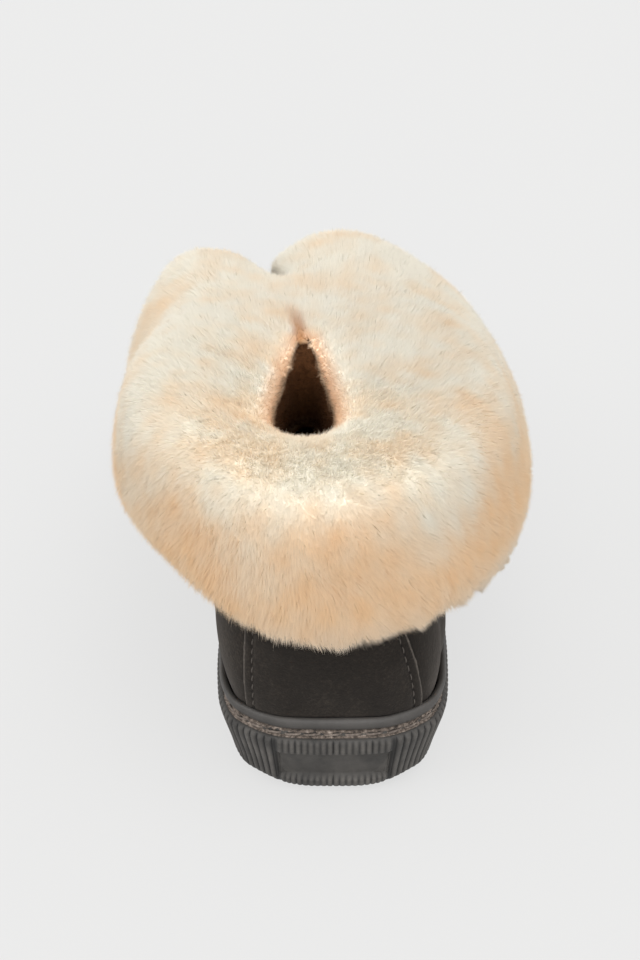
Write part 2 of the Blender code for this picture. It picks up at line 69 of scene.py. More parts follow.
# %% [markdown]
# ## Camera, floor and light
# The photograph looks down on the heel at 32 degrees through a long lens, so the camera stands
# about 0.84 m away. The floor is a light table: it glows softly by itself, which is how a
# product photograph gets a ground with hardly any shadow. The rest comes from a bright
# surrounding sky colour and three large soft lamps.

# %% Camera
camera_tilt = math.radians(32.0)
camera_place = (-0.0041, -0.6680, 0.5159)
camera_lens = 97.5
camera_data = bpy.data.cameras.new("camera")
camera_data.lens = camera_lens
camera_data.sensor_width = 36.0
camera_data.clip_start = 0.01
camera = bpy.data.objects.new("camera", camera_data)
camera.location = camera_place
camera.rotation_euler = (math.pi / 2 - camera_tilt, 0.0, 0.0)
bpy.context.scene.collection.objects.link(camera)
bpy.context.scene.camera = camera
print("camera looks down", round(math.degrees(camera_tilt)), "degrees with a", camera_lens, "mm lens")


# %% Floor and lamps
def plain_material(name, colour, roughness):
    made = bpy.data.materials.new(name)
    made.use_nodes = True
    shader = made.node_tree.nodes["Principled BSDF"]
    shader.inputs["Base Color"].default_value = (*colour, 1.0)
    shader.inputs["Roughness"].default_value = roughness
    return made, shader


def new_piece(name, mesh, look=None):
    piece = bpy.data.objects.new(name, mesh)
    if look is not None:
        mesh.materials.append(look)
    bpy.context.scene.collection.objects.link(piece)
    return piece


floor_mesh = bpy.data.meshes.new("floor")
reach = 4.0
corners = [(-reach, -reach, 0), (reach, -reach, 0), (reach, reach, 0), (-reach, reach, 0)]
floor_mesh.from_pydata(corners, [], [(0, 1, 2, 3)])
floor_look, floor_shader = plain_material("pale_floor", (0.07, 0.07, 0.07), 0.9)
floor_shader.inputs["Emission Color"].default_value = (1.0, 1.0, 0.995, 1.0)
floor_shader.inputs["Emission Strength"].default_value = 0.67
floor = new_piece("floor", floor_mesh, floor_look)

world = bpy.data.worlds.new("studio")
world.use_nodes = True
sky = world.node_tree.nodes["Background"]
sky.inputs["Color"].default_value = (1.0, 1.0, 1.0, 1.0)
sky.inputs["Strength"].default_value = 1.34
bpy.context.scene.world = world
bpy.context.scene.view_settings.view_transform = "Standard"
bpy.context.scene.view_settings.look = "None"
shoe_middle, lamp_size = (0.0, 0.08, 0.06), 1.2


def add_lamp(name, place, power, target=shoe_middle, size=lamp_size):
    data = bpy.data.lights.new(name, "AREA")
    data.shape = "DISK"
    data.size = size
    data.energy = power
    lamp = bpy.data.objects.new(name, data)
    lamp.location = place
    lamp.rotation_euler = (Vector(target) - Vector(place)).to_track_quat("-Z", "Y").to_euler()
    bpy.context.scene.collection.objects.link(lamp)
    print(name, "lamp has", power, "watts")


add_lamp("key", (0.3, -0.3, 1.8), 11.5)
add_lamp("left_fill", (-1.5, -0.6, 1.1), 11.5)
add_lamp("back_fill", (0.3, -1.7, 0.35), 15.5)

# %% [markdown]
# ## The sole's edge
# Everything low on a shoe follows one line: the edge of the sole. It is the same closed curve
# that the solids use, given by shares of the sole's length and width, once round from the back
# of the heel over the outer side. A place on it is a turn from 0 at the heel through 0.5 at the
# toe to 1 at the heel again. A Blender curve object could hold it too, but an array can be
# moved in, out and up for every strip that follows the edge.

# %% Edge curve
sole_length, ball_width, heel_width, heel_seat = 0.266, 0.096, 0.071, 0.030
heel_wall_height, ball_wall_height, toe_spring, arch_lift = 0.0225, 0.0170, 0.0103, 0.0025
outer_rows = (
    (0.0000, 0.000), (0.0026, 0.204), (0.0128, 0.310), (0.0270, 0.385), (0.0450, 0.447),
    (0.0750, 0.486), (0.1130, 0.502), (0.1800, 0.509), (0.2800, 0.511), (0.4000, 0.491),
    (0.5000, 0.468), (0.6000, 0.495), (0.6800, 0.505), (0.7600, 0.479), (0.8400, 0.405),
    (0.9100, 0.285), (0.9650, 0.118), (1.0000, -0.115),
)
inner_rows = (
    (0.9650, -0.325), (0.9100, -0.437), (0.8400, -0.487), (0.7600, -0.495), (0.6800, -0.464),
    (0.6000, -0.411), (0.5000, -0.375), (0.4000, -0.425), (0.2800, -0.497), (0.1800, -0.509),
    (0.1130, -0.502), (0.0750, -0.486), (0.0450, -0.447), (0.0270, -0.385), (0.0128, -0.310),
    (0.0026, -0.204),
)
edge_steps = 24


def smooth(value, start, end):
    share = np.clip((value - start) / (end - start), 0.0, 1.0)
    return share * share * (3.0 - 2.0 * share)


def blend(first, second, share):
    return first + (second - first) * share


def edge_curve():
    rows = outer_rows + inner_rows
    points = []
    for along, across in rows:
        width = blend(heel_width, ball_width, smooth(along, 0.30, 0.55))
        points.append((across * width, along * sole_length - heel_seat))
    points = np.array(points)
    line = []
    for index in range(len(rows)):
        before, start = points[index - 1], points[index]
        end, after = points[(index + 1) % len(rows)], points[(index + 2) % len(rows)]
        for step in range(edge_steps):
            t = step / edge_steps
            square = (2 * before - 5 * start + 4 * end - after) * t * t
            cube = (3 * start - before - 3 * end + after) * t**3
            line.append(0.5 * (2 * start + (end - before) * t + square + cube))
    return np.array(line)


edge_line = edge_curve()
toe_index = (len(outer_rows) - 1) * edge_steps
outer_half = edge_line[: toe_index + 1]
inner_half = np.vstack([edge_line[:1], edge_line[: toe_index - 1 : -1]])
half_edge = 0.5 * np.linalg.norm(edge_line - np.roll(edge_line, -1, axis=0), axis=1).sum()
print("edge of the sole:", round(2 * half_edge / mm), "mm round")


# %% [markdown]
# The helpers below work on whole arrays of turns at once, which keeps fine meshes quick.


# %% Places on and beside the edge
def lengths_of(line):
    steps = np.linalg.norm(np.diff(line, axis=0), axis=1)
    return np.concatenate([[0.0], np.cumsum(steps)])


outer_lengths, inner_lengths = lengths_of(outer_half), lengths_of(inner_half)


def from_heel(turn):
    """Share of the way from heel to toe, and the side: 1 outer, -1 inner."""
    turn = np.asarray(turn, float) % 1.0
    return np.where(turn <= 0.5, 2 * turn, 2 - 2 * turn), np.where(turn <= 0.5, 1.0, -1.0)


def edge_point(turn):
    share, side = from_heel(turn)
    found = []
    for axis in (0, 1):
        outer = np.interp(share * outer_lengths[-1], outer_lengths, outer_half[:, axis])
        inner = np.interp(share * inner_lengths[-1], inner_lengths, inner_half[:, axis])
        found.append(np.where(side > 0, outer, inner))
    return np.stack(found, -1)


def edge_normal(turn):
    near = 0.004
    ahead = edge_point(np.asarray(turn) + near) - edge_point(np.asarray(turn) - near)
    normal = np.stack([ahead[..., 1], -ahead[..., 0]], -1)
    return normal / np.linalg.norm(normal, axis=-1, keepdims=True)


def inset_point(turn, inset):
    return edge_point(turn) - edge_normal(turn) * np.asarray(inset)[..., None]


# %% Heights along the sole
def toe_lift(y):
    along = (y + heel_seat) / sole_length
    return toe_spring * smooth(along, 0.75, 1.10) / smooth(1.0, 0.75, 1.10)


def ledge_height(y):
    along = (y + heel_seat) / sole_length
    return blend(heel_wall_height, ball_wall_height, smooth(along, 0.20, 0.62)) + toe_lift(y)


def ground_lift(y):
    along = (y + heel_seat) / sole_length
    arch = arch_lift * smooth(along, 0.30, 0.42) * (1.0 - smooth(along, 0.46, 0.56))
    return arch + toe_lift(y)


lip_heights = ledge_height(np.array([-heel_seat, sole_length - heel_seat])) / mm
print("lip of the sole in mm, at heel and toe:", lip_heights.round(1))


# %% Smooth noise
def waves(points, size, seed, count=14):
    """Smooth noise from -1 to 1 in space, as a sum of sines with lumps about size across."""
    dice = np.random.default_rng(seed)
    directions = dice.normal(size=(count, 3))
    directions /= np.linalg.norm(directions, axis=1, keepdims=True)
    speeds = dice.uniform(0.6, 1.5, count) * 2 * np.pi / (2.2 * size)
    phases = dice.uniform(0, 2 * np.pi, count)
    total = np.zeros(points.shape[:-1])
    for direction, speed, phase in zip(directions, speeds, phases):
        total += np.sin(points @ direction * speed + phase)
    return total / math.sqrt(count)


# %% [markdown]
# ## Turning grids of points into meshes
# A loft is a grid of points joined into four-sided faces. NumPy works out all points, and one
# call hands them to Blender, which is far quicker than adding faces one at a time.


# %% Mesh from a grid
def grid_faces(rows, columns, close_rows=False, close_columns=False, first=0):
    row_index = np.arange(rows if close_rows else rows - 1)
    column_index = np.arange(columns if close_columns else columns - 1)
    r, c = np.meshgrid(row_index, column_index, indexing="ij")
    r2, c2 = (r + 1) % rows, (c + 1) % columns
    quads = np.stack([r * columns + c, r * columns + c2, r2 * columns + c2, r2 * columns + c], -1)
    return quads.reshape(-1, 4) + first


def mesh_from(name, points, faces):
    mesh = bpy.data.meshes.new(name)
    points = np.asarray(points, np.float32).reshape(-1, 3)
    faces = np.asarray(faces, np.int32)
    count, corners = faces.shape
    mesh.vertices.add(len(points))
    mesh.vertices.foreach_set("co", points.ravel())
    mesh.loops.add(count * corners)
    mesh.loops.foreach_set("vertex_index", faces.ravel())
    mesh.polygons.add(count)
    mesh.polygons.foreach_set("loop_start", np.arange(0, count * corners, corners, dtype=np.int32))
    mesh.update(calc_edges=True)
    mesh.validate()
    mesh.shade_smooth()
    return mesh


def finish_piece(name, mesh, look, replaced=()):
    piece = new_piece(name, mesh, look)
    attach(piece, "root")
    if replaced:
        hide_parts(*replaced)
    print(name, "has", len(mesh.polygons), "faces")
    return piece


# %% [markdown]
# ## Materials
# Each finish starts from one Principled shader. Noise at the real size of the grain drives the
# colour and the bump. Texture coordinates are the object's own, in metres, so a scale of 1000
# makes lumps about a millimetre across.


# %% Material helper
class Look:
    """A material under construction: its node tree, its shader and a coordinate source."""

    def __init__(self, name, colour, roughness):
        self.material, self.shader = plain_material(name, colour, roughness)
        self.tree = self.material.node_tree
        self.coordinates = self.tree.nodes.new("ShaderNodeTexCoord").outputs["Object"]

    def node(self, kind, **inputs):
        made = self.tree.nodes.new(kind)
        for key, value in inputs.items():
            socket = made.inputs[key.replace("_", " ")]
            if isinstance(value, bpy.types.NodeSocket):
                self.tree.links.new(value, socket)
            else:
                socket.default_value = value
        return made

    def noise(self, scale, detail=4.0, roughness=0.55):
        made = self.node("ShaderNodeTexNoise", Vector=self.coordinates, Scale=scale, Detail=detail)
        made.inputs["Roughness"].default_value = roughness
        return made.outputs["Fac"]

    def ramp(self, value, stops):
        made = self.node("ShaderNodeValToRGB", Fac=value)
        band = made.color_ramp
        while len(band.elements) < len(stops):
            band.elements.new(0.5)
        for element, (place, colour) in zip(band.elements, stops):
            element.position = place
            element.color = (*colour, 1.0)
        return made.outputs["Color"]

    def bump(self, height, distance, strength=1.0, before=None):
        made = self.node("ShaderNodeBump", Height=height, Distance=distance, Strength=strength)
        if before is not None:
            self.tree.links.new(before, made.inputs["Normal"])
        return made.outputs["Normal"]

    def wire(self, output, name):
        self.tree.links.new(output, self.shader.inputs[name])


# %% [markdown]
# ## Rubber
# The sole and the rand are one grey-brown rubber. Its face is dull, with fine mould grain, and
# pale dust lies in its rough places. The rand is rubbed a little smoother than the sole. A
# picture could be laid on it, but noise keeps its real size anywhere on the sole, and the ribs'
# own height, kept in the mesh, tells where shade is painted into the grooves and a highlight
# onto the crowns.


# %% Rubber looks
# Painted shade darkens the rubber in the grooves between ribs, and a painted highlight pales their crowns.
painted_rib_shading = ((0.35, (0.12, 0.11, 0.10)), (0.72, (0.80, 0.80, 0.80)), (1.0, (1.45, 1.45, 1.45)))


def rubber_look(name, dark, pale, roughness, relief=None):
    look = Look(name, dark, roughness)
    cloud = look.noise(90.0, 6.0, 0.65)
    colour = look.ramp(cloud, ((0.32, dark), (0.72, pale)))
    if relief is not None:
        height = look.tree.nodes.new("ShaderNodeAttribute")
        height.attribute_name = relief
        shade = look.ramp(height.outputs["Fac"], painted_rib_shading)
        # The rib height multiplies the colour: painted shade in the grooves, painted highlight on the
        # crowns.
        shaded_colour = look.tree.nodes.new("ShaderNodeMix")
        shaded_colour.data_type = "RGBA"
        shaded_colour.blend_type = "MULTIPLY"
        shaded_colour.inputs["Factor"].default_value = 1.0
        look.tree.links.new(colour, shaded_colour.inputs[6])
        look.tree.links.new(shade, shaded_colour.inputs[7])
        colour = shaded_colour.outputs[2]
    look.wire(colour, "Base Color")
    rough = look.node("ShaderNodeMapRange", Value=look.noise(400.0))
    rough.inputs["To Min"].default_value = roughness - 0.10
    rough.inputs["To Max"].default_value = roughness + 0.14
    look.wire(rough.outputs[0], "Roughness")
    grain = look.bump(look.noise(1500.0, 3.0), 0.00010, 0.6)
    look.wire(look.bump(look.noise(260.0, 4.0), 0.00025, 0.5, grain), "Normal")
    return look


sole_dark, sole_pale = (0.016, 0.0145, 0.0128), (0.060, 0.0545, 0.0485)
sole_look = rubber_look("sole_rubber_face", sole_dark, sole_pale, 0.66)
wall_look = rubber_look("ribbed_rubber", sole_dark, sole_pale, 0.66, "relief")
rand_look = rubber_look("rand_rubber_face", (0.026, 0.0235, 0.021), (0.050, 0.045, 0.041), 0.56)
nodes["outsole"].data.materials.clear()
nodes["outsole"].data.materials.append(sole_look.material)
for look in (sole_look, wall_look, rand_look):
    print("rubber look:", look.material.name)

# %% [markdown]
# ## Sole wall
# The wall of the cup sole is ribbed from the lip down to the rounded bottom corner. At the heel
# a plain sunk plate takes the place of the ribs, with short, closer ribs above and below it.
# A real mould has this as one face, so it is one fine grid here: columns a third of a
# millimetre apart round the shoe, pushed in and out by a formula. It lies on the solid's coarser ribs.

# %% Wall skin
rib_pitch, rib_reach = 2.6 * mm, 0.95 * mm
short_pitch, short_reach = 2.0 * mm, 0.75 * mm
plate_width, plate_foot, plate_height, plate_depth = 0.036, 0.0060, 0.0105, 1.0 * mm
heel_tuck_depth, skin_out = 3.0 * mm, 0.12 * mm
rib_count, columns_per_rib = 2 * round(half_edge / rib_pitch), 8
wall_columns = rib_count * columns_per_rib
print("ribs round the sole:", rib_count)


def rounded_ribs(phase):
    """1 on the crown of a rib and 0 in the narrow groove between two."""
    return np.abs(np.cos(np.pi * phase)) ** 0.45


def heel_tuck(turn, tuck):
    share, _ = from_heel(turn)
    return heel_tuck_depth * smooth(share, 0.02, 0.09) * (1.0 - smooth(share, 0.11, 0.26)) * tuck


# %% Rows of the wall
# From the lip down: inset in mm, share of the wall's height, tuck, and how much of the rib.
wall_rows = (
    (1.60, 1.000, 0.00, 0.0),
    (0.55, 1.012, 0.00, 0.0),
    (-0.05, 0.992, 0.00, 0.35),
    (-0.05, 0.965, 0.00, 0.75),
    (-0.05, 0.940, 0.00, 1.0),
    (-0.05, 0.905, 0.03, 1.0),
    (0.30, 0.805, 0.10, 1.0),
    (0.72, 0.705, 0.20, 1.0),
    (1.14, 0.605, 0.30, 1.0),
    (1.56, 0.505, 0.40, 1.0),
    (1.98, 0.405, 0.50, 1.0),
    (2.42, 0.295, 0.58, 1.0),
    (2.88, 0.190, 0.64, 1.0),
    (3.55, 0.120, 0.76, 0.95),
    (4.45, 0.065, 0.86, 0.80),
    (5.40, 0.034, 0.94, 0.50),
    (6.30, 0.018, 1.00, 0.15),
    (6.90, 0.040, 1.00, 0.0),
)


def fine_rows(rows, times):
    """A table with more rows, read along straight lines between the given ones."""
    table = np.array(rows)
    places = np.linspace(0, len(rows) - 1, (len(rows) - 1) * times + 1)
    return np.stack([np.interp(places, np.arange(len(rows)), column) for column in table.T], -1)


# %% Ribs and plate
def sole_wall_points():
    turns = np.arange(wall_columns) / wall_columns
    signed = np.where(turns > 0.5, turns - 1.0, turns) * 2 * half_edge
    rings = []
    long_rib = rounded_ribs(turns * rib_count)
    short_rib = rounded_ribs(signed / short_pitch + 0.5)
    past_plate = np.abs(signed) - 0.5 * plate_width
    over_plate = 1.0 - smooth(past_plate, 0.1 * mm, 0.7 * mm)
    beside = 1.0 - smooth(past_plate, 0.5 * mm, 1.3 * mm)
    relief = []
    for inset, up, tuck, rib in fine_rows(wall_rows, 2):
        edge = edge_point(turns)
        low, high = ground_lift(edge[:, 1]), ledge_height(edge[:, 1])
        height = low + up * (high - low)
        in_plate = smooth(height, plate_foot - 0.1 * mm, plate_foot + 0.5 * mm)
        plate_top = plate_foot + plate_height
        in_plate *= 1.0 - smooth(height, plate_top - 0.5 * mm, plate_top + 0.1 * mm)
        push = long_rib * rib_reach * (1.0 - beside) + short_rib * short_reach * over_plate
        push = push * rib * (1.0 - in_plate * over_plate) - plate_depth * in_plate * over_plate
        ring = inset_point(turns, inset * mm + heel_tuck(turns, tuck) - push - skin_out)
        rings.append(np.column_stack([ring, height]))
        # The relief tells the colour where to paint shade in the grooves and a highlight on the crowns.
        crown = blend(long_rib * (1.0 - beside), short_rib, over_plate)
        flat = np.maximum(in_plate * over_plate, 1.0 - rib)
        relief.append(blend(crown, 0.72, np.clip(flat, 0.0, 1.0)))
    return np.array(rings), np.array(relief)


wall_points, wall_relief = sole_wall_points()
wall_faces = grid_faces(*wall_points.shape[:2], close_columns=True)[:, ::-1]
wall_mesh = mesh_from("sole_wall", wall_points, wall_faces)
relief_layer = wall_mesh.attributes.new("relief", "FLOAT", "POINT")
relief_layer.data.foreach_set("value", wall_relief.astype(np.float32).ravel())
finish_piece("sole_wall", wall_mesh, wall_look.material)

# %% [markdown]
# ## Many small things in one mesh
# Threads, edges and strips are tubes along short paths. A tube is a loft of round rings, and all
# tubes of one kind are joined into one mesh, so hundreds of stitches cost one object.


# %% Tubes
def tube(path, radii, sides=8):
    """Points and faces of a round tube along a path, thinner or thicker as radii say."""
    path = np.asarray(path, float)
    radii = np.broadcast_to(np.asarray(radii, float), (len(path),))
    ahead = np.roll(path, -1, axis=0) - np.roll(path, 1, axis=0)
    ahead[0], ahead[-1] = path[1] - path[0], path[-1] - path[-2]
    ahead /= np.linalg.norm(ahead, axis=1, keepdims=True)
    up = np.where(np.abs(ahead[:, 2:3]) > 0.9, [[1.0, 0.0, 0.0]], [[0.0, 0.0, 1.0]])
    side = np.cross(ahead, up)
    side /= np.linalg.norm(side, axis=1, keepdims=True)
    lift = np.cross(side, ahead)
    angle = 2 * np.pi * np.arange(sides) / sides
    ring = side[:, None] * np.cos(angle)[None, :, None] + lift[:, None] * np.sin(angle)[None, :, None]
    points = path[:, None] + ring * radii[:, None, None]
    faces = grid_faces(len(path), sides, close_columns=True)
    return points.reshape(-1, 3), faces


def join_parts(parts):
    points, faces, first = [], [], 0
    for part_points, part_faces in parts:
        points.append(part_points)
        faces.append(part_faces + first)
        first += len(part_points)
    return np.vstack(points), np.vstack(faces)


def finish_parts(name, parts, look):
    finish_piece(name, mesh_from(name, *join_parts(parts)), look.material)


# %% [markdown]
# ## The suede's own curve
# The upper is one surface. At each turn round the shoe a single curve climbs from the feather
# edge on the sole to the collar: steep at the heel, a long slope at the toe. The heel panel and
# its seams lie on the same surface, a little farther out. The shell could be sculpted, but a
# formula lets every seam, edge and thread be placed on it by the same two numbers.

# %% Sizes of the upper
feather_inset, suede_wall, clearance = 0.0037, 0.0020, 0.0003
strip_height = 0.0026
collar_height, collar_width, collar_length = 0.096, 0.060, 0.096
collar_back, collar_lean, collar_ease, collar_round = 0.006, 0.006, 0.002, 2.27
heel_bulge, quarter_bulge, toe_bulge = 0.0022, 0.0100, 0.010
quarter_rise, quarter_start, toe_rise = 0.026, 0.0234, 0.0374
instep_reach, instep_drop = 0.052, 0.026
rand_height, rand_width = 0.0042, 0.0026
near_turn, near_rise = 0.006, 0.02
collar_sizes = (collar_width, collar_length, collar_height)
print("collar's width, length and height in mm:", [round(size / mm) for size in collar_sizes])


# %% Curves from seat to collar
def seat_height(y):
    """Top of the stitched strip, on which the upper, the rand and the insole sit."""
    return ledge_height(y) + strip_height


def collar_frame(turn):
    share, side = from_heel(turn)
    angle = np.pi * (1.0 - (1.0 - share) ** collar_round)
    x = side * 0.5 * collar_width * np.sin(angle) - collar_lean
    y = collar_back - heel_seat + 0.5 * collar_length * (1.0 - np.cos(angle))
    out = np.stack([side * np.sin(angle) / collar_width, -np.cos(angle) / collar_length, 0 * x], -1)
    out /= np.linalg.norm(out, axis=-1, keepdims=True)
    return np.stack([x, y, 0 * x + collar_height], -1), out


def column_curve(turn, rise):
    """The curve up the suede at a turn, from rise 0 at its seat to rise 1 at the collar."""
    turn, rise = np.broadcast_arrays(np.asarray(turn, float), np.asarray(rise, float))
    share, _ = from_heel(turn)
    foot = inset_point(turn, np.full(turn.shape, feather_inset))
    start = np.stack([foot[..., 0], foot[..., 1], seat_height(foot[..., 1]) + clearance], -1)
    normal = edge_normal(turn)
    out = np.stack([normal[..., 0], normal[..., 1], 0 * normal[..., 0]], -1)
    front = smooth(share, 0.25, 0.95)
    middle = smooth(share, 0.03, 0.14) * (1.0 - smooth(share, 0.60, 1.0))
    bulge = blend(blend(heel_bulge, toe_bulge, front), quarter_bulge, middle)
    start_handle = start + out * bulge[..., None]
    start_handle[..., 2] += blend(quarter_start, toe_rise, front)
    end, collar_out = collar_frame(turn)
    end_handle = end + collar_out * blend(collar_ease, instep_reach, front)[..., None]
    end_handle[..., 2] -= blend(quarter_rise, instep_drop, front)
    up, back = rise[..., None], 1.0 - rise[..., None]
    return start * back**3 + start_handle * 3 * back**2 * up + end_handle * 3 * back * up**2 + end * up**3


# %% The surface of the suede
def skin(turn, rise, out=0.0):
    """The suede's surface, or a place farther out along its normal."""
    given = (np.asarray(value, float) for value in (turn, rise, out))
    turn, rise, out = np.broadcast_arrays(*given)
    above, below = np.minimum(rise + near_rise, 1.0), np.maximum(rise - near_rise, 0.0)
    up = column_curve(turn, above) - column_curve(turn, below)
    around = column_curve(turn + near_turn, rise) - column_curve(turn - near_turn, rise)
    normal = np.cross(around, up)
    normal /= np.linalg.norm(normal, axis=-1, keepdims=True)
    return column_curve(turn, rise) + normal * out[..., None]


def rise_above_seat(turn, height):
    """The rise at which the suede is height above its seat, found by halving."""
    turn, height = np.broadcast_arrays(np.asarray(turn, float), np.asarray(height, float))
    low, high = np.zeros(turn.shape), np.ones(turn.shape)
    foot = column_curve(turn, low)[..., 2]
    for _ in range(24):
        middle = 0.5 * (low + high)
        under = column_curve(turn, middle)[..., 2] - foot < height
        low, high = np.where(under, middle, low), np.where(under, high, middle)
    return 0.5 * (low + high)


# %% [markdown]
# ## Stitched strip and thread
# Between the rubber lip and the rand stands a low strip where the sole is sewn on: rough brown
# fibre with one groove, and a thick waxed thread in it that dips through a hole at each stitch.
# The strip is a loft whose rough face comes from noise; each stitch is a short bent tube.

# %% Stitched strip
welt_look = Look("sewn_welt", (0.10, 0.085, 0.072), 0.95)
welt_cloud = welt_look.noise(650.0, 6.0, 0.75)
welt_tones = ((0.36, (0.022, 0.017, 0.014)), (0.50, (0.105, 0.082, 0.066)), (0.66, (0.28, 0.23, 0.195)))
welt_look.wire(welt_look.ramp(welt_cloud, welt_tones), "Base Color")
welt_look.wire(welt_look.bump(welt_cloud, 0.0005, 1.0), "Normal")

welt_columns = 1300
welt_turns = np.arange(welt_columns) / welt_columns
# From the lip in over the ledge and up the strip: inset and height over the ledge, in mm.
welt_rows = ((0.30, -0.25), (0.45, 0.25), (0.95, 0.40), (1.15, 0.75), (1.10, 1.15), (1.15, 1.60),
             (1.20, 2.05), (1.30, 2.45), (1.75, 2.75), (2.60, 2.80))
welt_groove, groove_half, groove_deep = 1.25, 0.42, 0.55
welt_rough, welt_lumps = 0.20, 0.16


def welt_point(turns, inset, height):
    """A place on the strip's face, rough, and sunk in along the thread's groove."""
    along = turns * 2 * half_edge
    flat = np.column_stack([along, 0 * along + height * mm, 0 * along + inset * mm])
    bumpy = welt_rough * waves(flat, 0.0010, 3) + welt_lumps * waves(flat, 0.0034, 4)
    sunk = groove_deep * math.exp(-(((height - welt_groove) / groove_half) ** 2))
    place = inset_point(turns, (inset + sunk + bumpy) * mm)
    return np.column_stack([place, ledge_height(place[:, 1]) + height * mm + 0.5 * bumpy * mm])


welt_table = fine_rows(welt_rows, 2)
welt_points = np.array([welt_point(welt_turns, inset, height) for inset, height in welt_table])
welt_mesh = mesh_from("welt", welt_points, grid_faces(*welt_points.shape[:2], close_columns=True))
finish_piece("welt", welt_mesh, welt_look.material)

# %% Thread in the groove
thread_look = Look("waxed_thread", (0.085, 0.070, 0.058), 0.75)
thread_cloud = thread_look.noise(900.0, 3.0)
thread_tones = ((0.3, (0.050, 0.038, 0.031)), (0.7, (0.170, 0.138, 0.115)))
thread_look.wire(thread_look.ramp(thread_cloud, thread_tones), "Base Color")
thread_look.wire(thread_look.bump(thread_look.noise(2500.0, 2.0), 0.0001, 0.8), "Normal")
stitch_pitch, stitch_length, thread_half = 6.5 * mm, 5.6 * mm, 0.40 * mm
stitch_count = round(2 * half_edge / stitch_pitch)
thread_inset, thread_dip = 1.05 * mm, 0.9 * mm
reach_turn = 0.5 * stitch_length / (2 * half_edge)
along = np.linspace(-1.0, 1.0, 11)
inset = thread_inset + thread_dip * smooth(np.abs(along), 0.70, 1.0)
dice = np.random.default_rng(11)
thread_parts = []
for stitch in range(stitch_count):
    middle = (stitch + dice.uniform(-0.04, 0.04)) / stitch_count
    path = inset_point(middle + along * reach_turn, inset)
    slant = dice.uniform(0.15, 0.45) * mm
    level = ledge_height(path[:, 1]) + welt_groove * mm + slant * along + dice.uniform(-0.1, 0.1) * mm
    thread_parts.append(tube(np.column_stack([path, level]), thread_half * (1.0 - 0.35 * along**4), 8))
finish_parts("welt_thread", thread_parts, thread_look)

# %% [markdown]
# ## Rand
# The rand is a rounded rubber strip that covers the foot of the suede. It is one closed loft of
# a rounded section, a little wavy, because it is glued on by hand. A bevelled curve would be
# shorter to write, but its section couldn't lean with the suede behind it.

# %% Rand
rand_columns, rand_sides = 700, 16
rand_turns = np.arange(rand_columns) / rand_columns


def rand_points():
    rings = []
    for angle in 2 * np.pi * np.arange(rand_sides) / rand_sides:
        across = np.sign(np.cos(angle)) * abs(np.cos(angle)) ** 0.75
        up = np.sign(np.sin(angle)) * abs(np.sin(angle)) ** 0.80
        up_share = 0.5 + 0.5 * up
        out_share = 0.50 + 0.52 * across - 0.10 * (up > 0) * up
        rise = rise_above_seat(rand_turns, np.full(rand_columns, max(up_share, 0.0) * rand_height))
        base = skin(rand_turns, rise, 0.4 * mm)
        outward = edge_normal(rand_turns)
        point = base[:, :2] + outward * (out_share * rand_width)
        wavy = waves(np.column_stack([point, 0 * point[:, 0]]), 0.011, 21) * 0.16 * mm
        level = seat_height(point[:, 1]) + 0.35 * mm + up_share * (rand_height + wavy)
        rings.append(np.column_stack([point + outward * wavy[:, None] * 0.7, level]))
    return np.array(rings)


rand_grid = rand_points()
rand_mesh = mesh_from("rand_strip", rand_grid, grid_faces(rand_sides, rand_columns, True, True))
finish_piece("rand_strip", rand_mesh, rand_look.material, ["rand"])

# %% [markdown]
# ## Suede
# Suede has no skin, only a short nap, so it is matt and swallows light. Where the nap lies one
# way it looks darker than where it lies the other, which gives cloudy patches. A little sheen
# brings back the pale rim that fibres give at a slant. Real hairs would be far too many for so
# short a nap, so two sizes of noise stand for the patches and the fibres.

# %% Suede look
suede_look = Look("brushed_suede", (0.033, 0.027, 0.023), 0.95)
nap_cloud = suede_look.noise(55.0, 5.0, 0.6)
nap_fine = suede_look.noise(1100.0, 3.0, 0.7)
nap_mixed = suede_look.node("ShaderNodeMath", Value=nap_cloud)
nap_mixed.operation = "MULTIPLY_ADD"
suede_look.tree.links.new(nap_fine, nap_mixed.inputs[2])
nap_mixed.inputs[1].default_value = 0.9
nap_half = suede_look.node("ShaderNodeMath", Value=nap_mixed.outputs[0])
nap_half.operation = "MULTIPLY"
nap_half.inputs[1].default_value = 0.53
nap_dark, nap_middle, nap_pale = (0.003, 0.0022, 0.0017), (0.0078, 0.0060, 0.0046), (0.022, 0.0175, 0.0135)
nap_tones = ((0.34, nap_dark), (0.52, nap_middle), (0.68, nap_pale))
suede_look.wire(suede_look.ramp(nap_half.outputs[0], nap_tones), "Base Color")
suede_look.shader.inputs["Sheen Weight"].default_value = 0.10
suede_look.shader.inputs["Sheen Roughness"].default_value = 0.6
suede_look.shader.inputs["Sheen Tint"].default_value = (0.8, 0.72, 0.65, 1.0)
suede_look.shader.inputs["Specular IOR Level"].default_value = 0.15
nap_bump = suede_look.bump(suede_look.noise(1900.0, 2.0), 0.00022, 0.9)
suede_look.wire(suede_look.bump(suede_look.noise(330.0, 4.0), 0.0004, 0.55, nap_bump), "Normal")
print("suede look:", suede_look.material.name)

# %% Upper
# Creases in the upper: turn, rise, half width in turns, half length in rises, lean, height in mm.
crease_rows = (
    (0.085, 0.42, 0.0060, 0.60, 0.020, -0.75),
    (0.100, 0.50, 0.0065, 0.70, 0.015, 0.65),
    (0.118, 0.40, 0.0070, 0.60, 0.018, -0.80),
    (0.140, 0.45, 0.0090, 0.65, 0.010, 0.60),
    (0.905, 0.45, 0.0080, 0.60, -0.012, -0.55),
    (0.880, 0.40, 0.0100, 0.60, -0.010, 0.50),
    (0.335, 0.55, 0.0120, 0.50, -0.030, -0.70),
    (0.372, 0.52, 0.0110, 0.45, -0.030, -0.85),
    (0.660, 0.55, 0.0120, 0.50, 0.030, -0.70),
    (0.625, 0.52, 0.0110, 0.45, 0.030, -0.80),
)


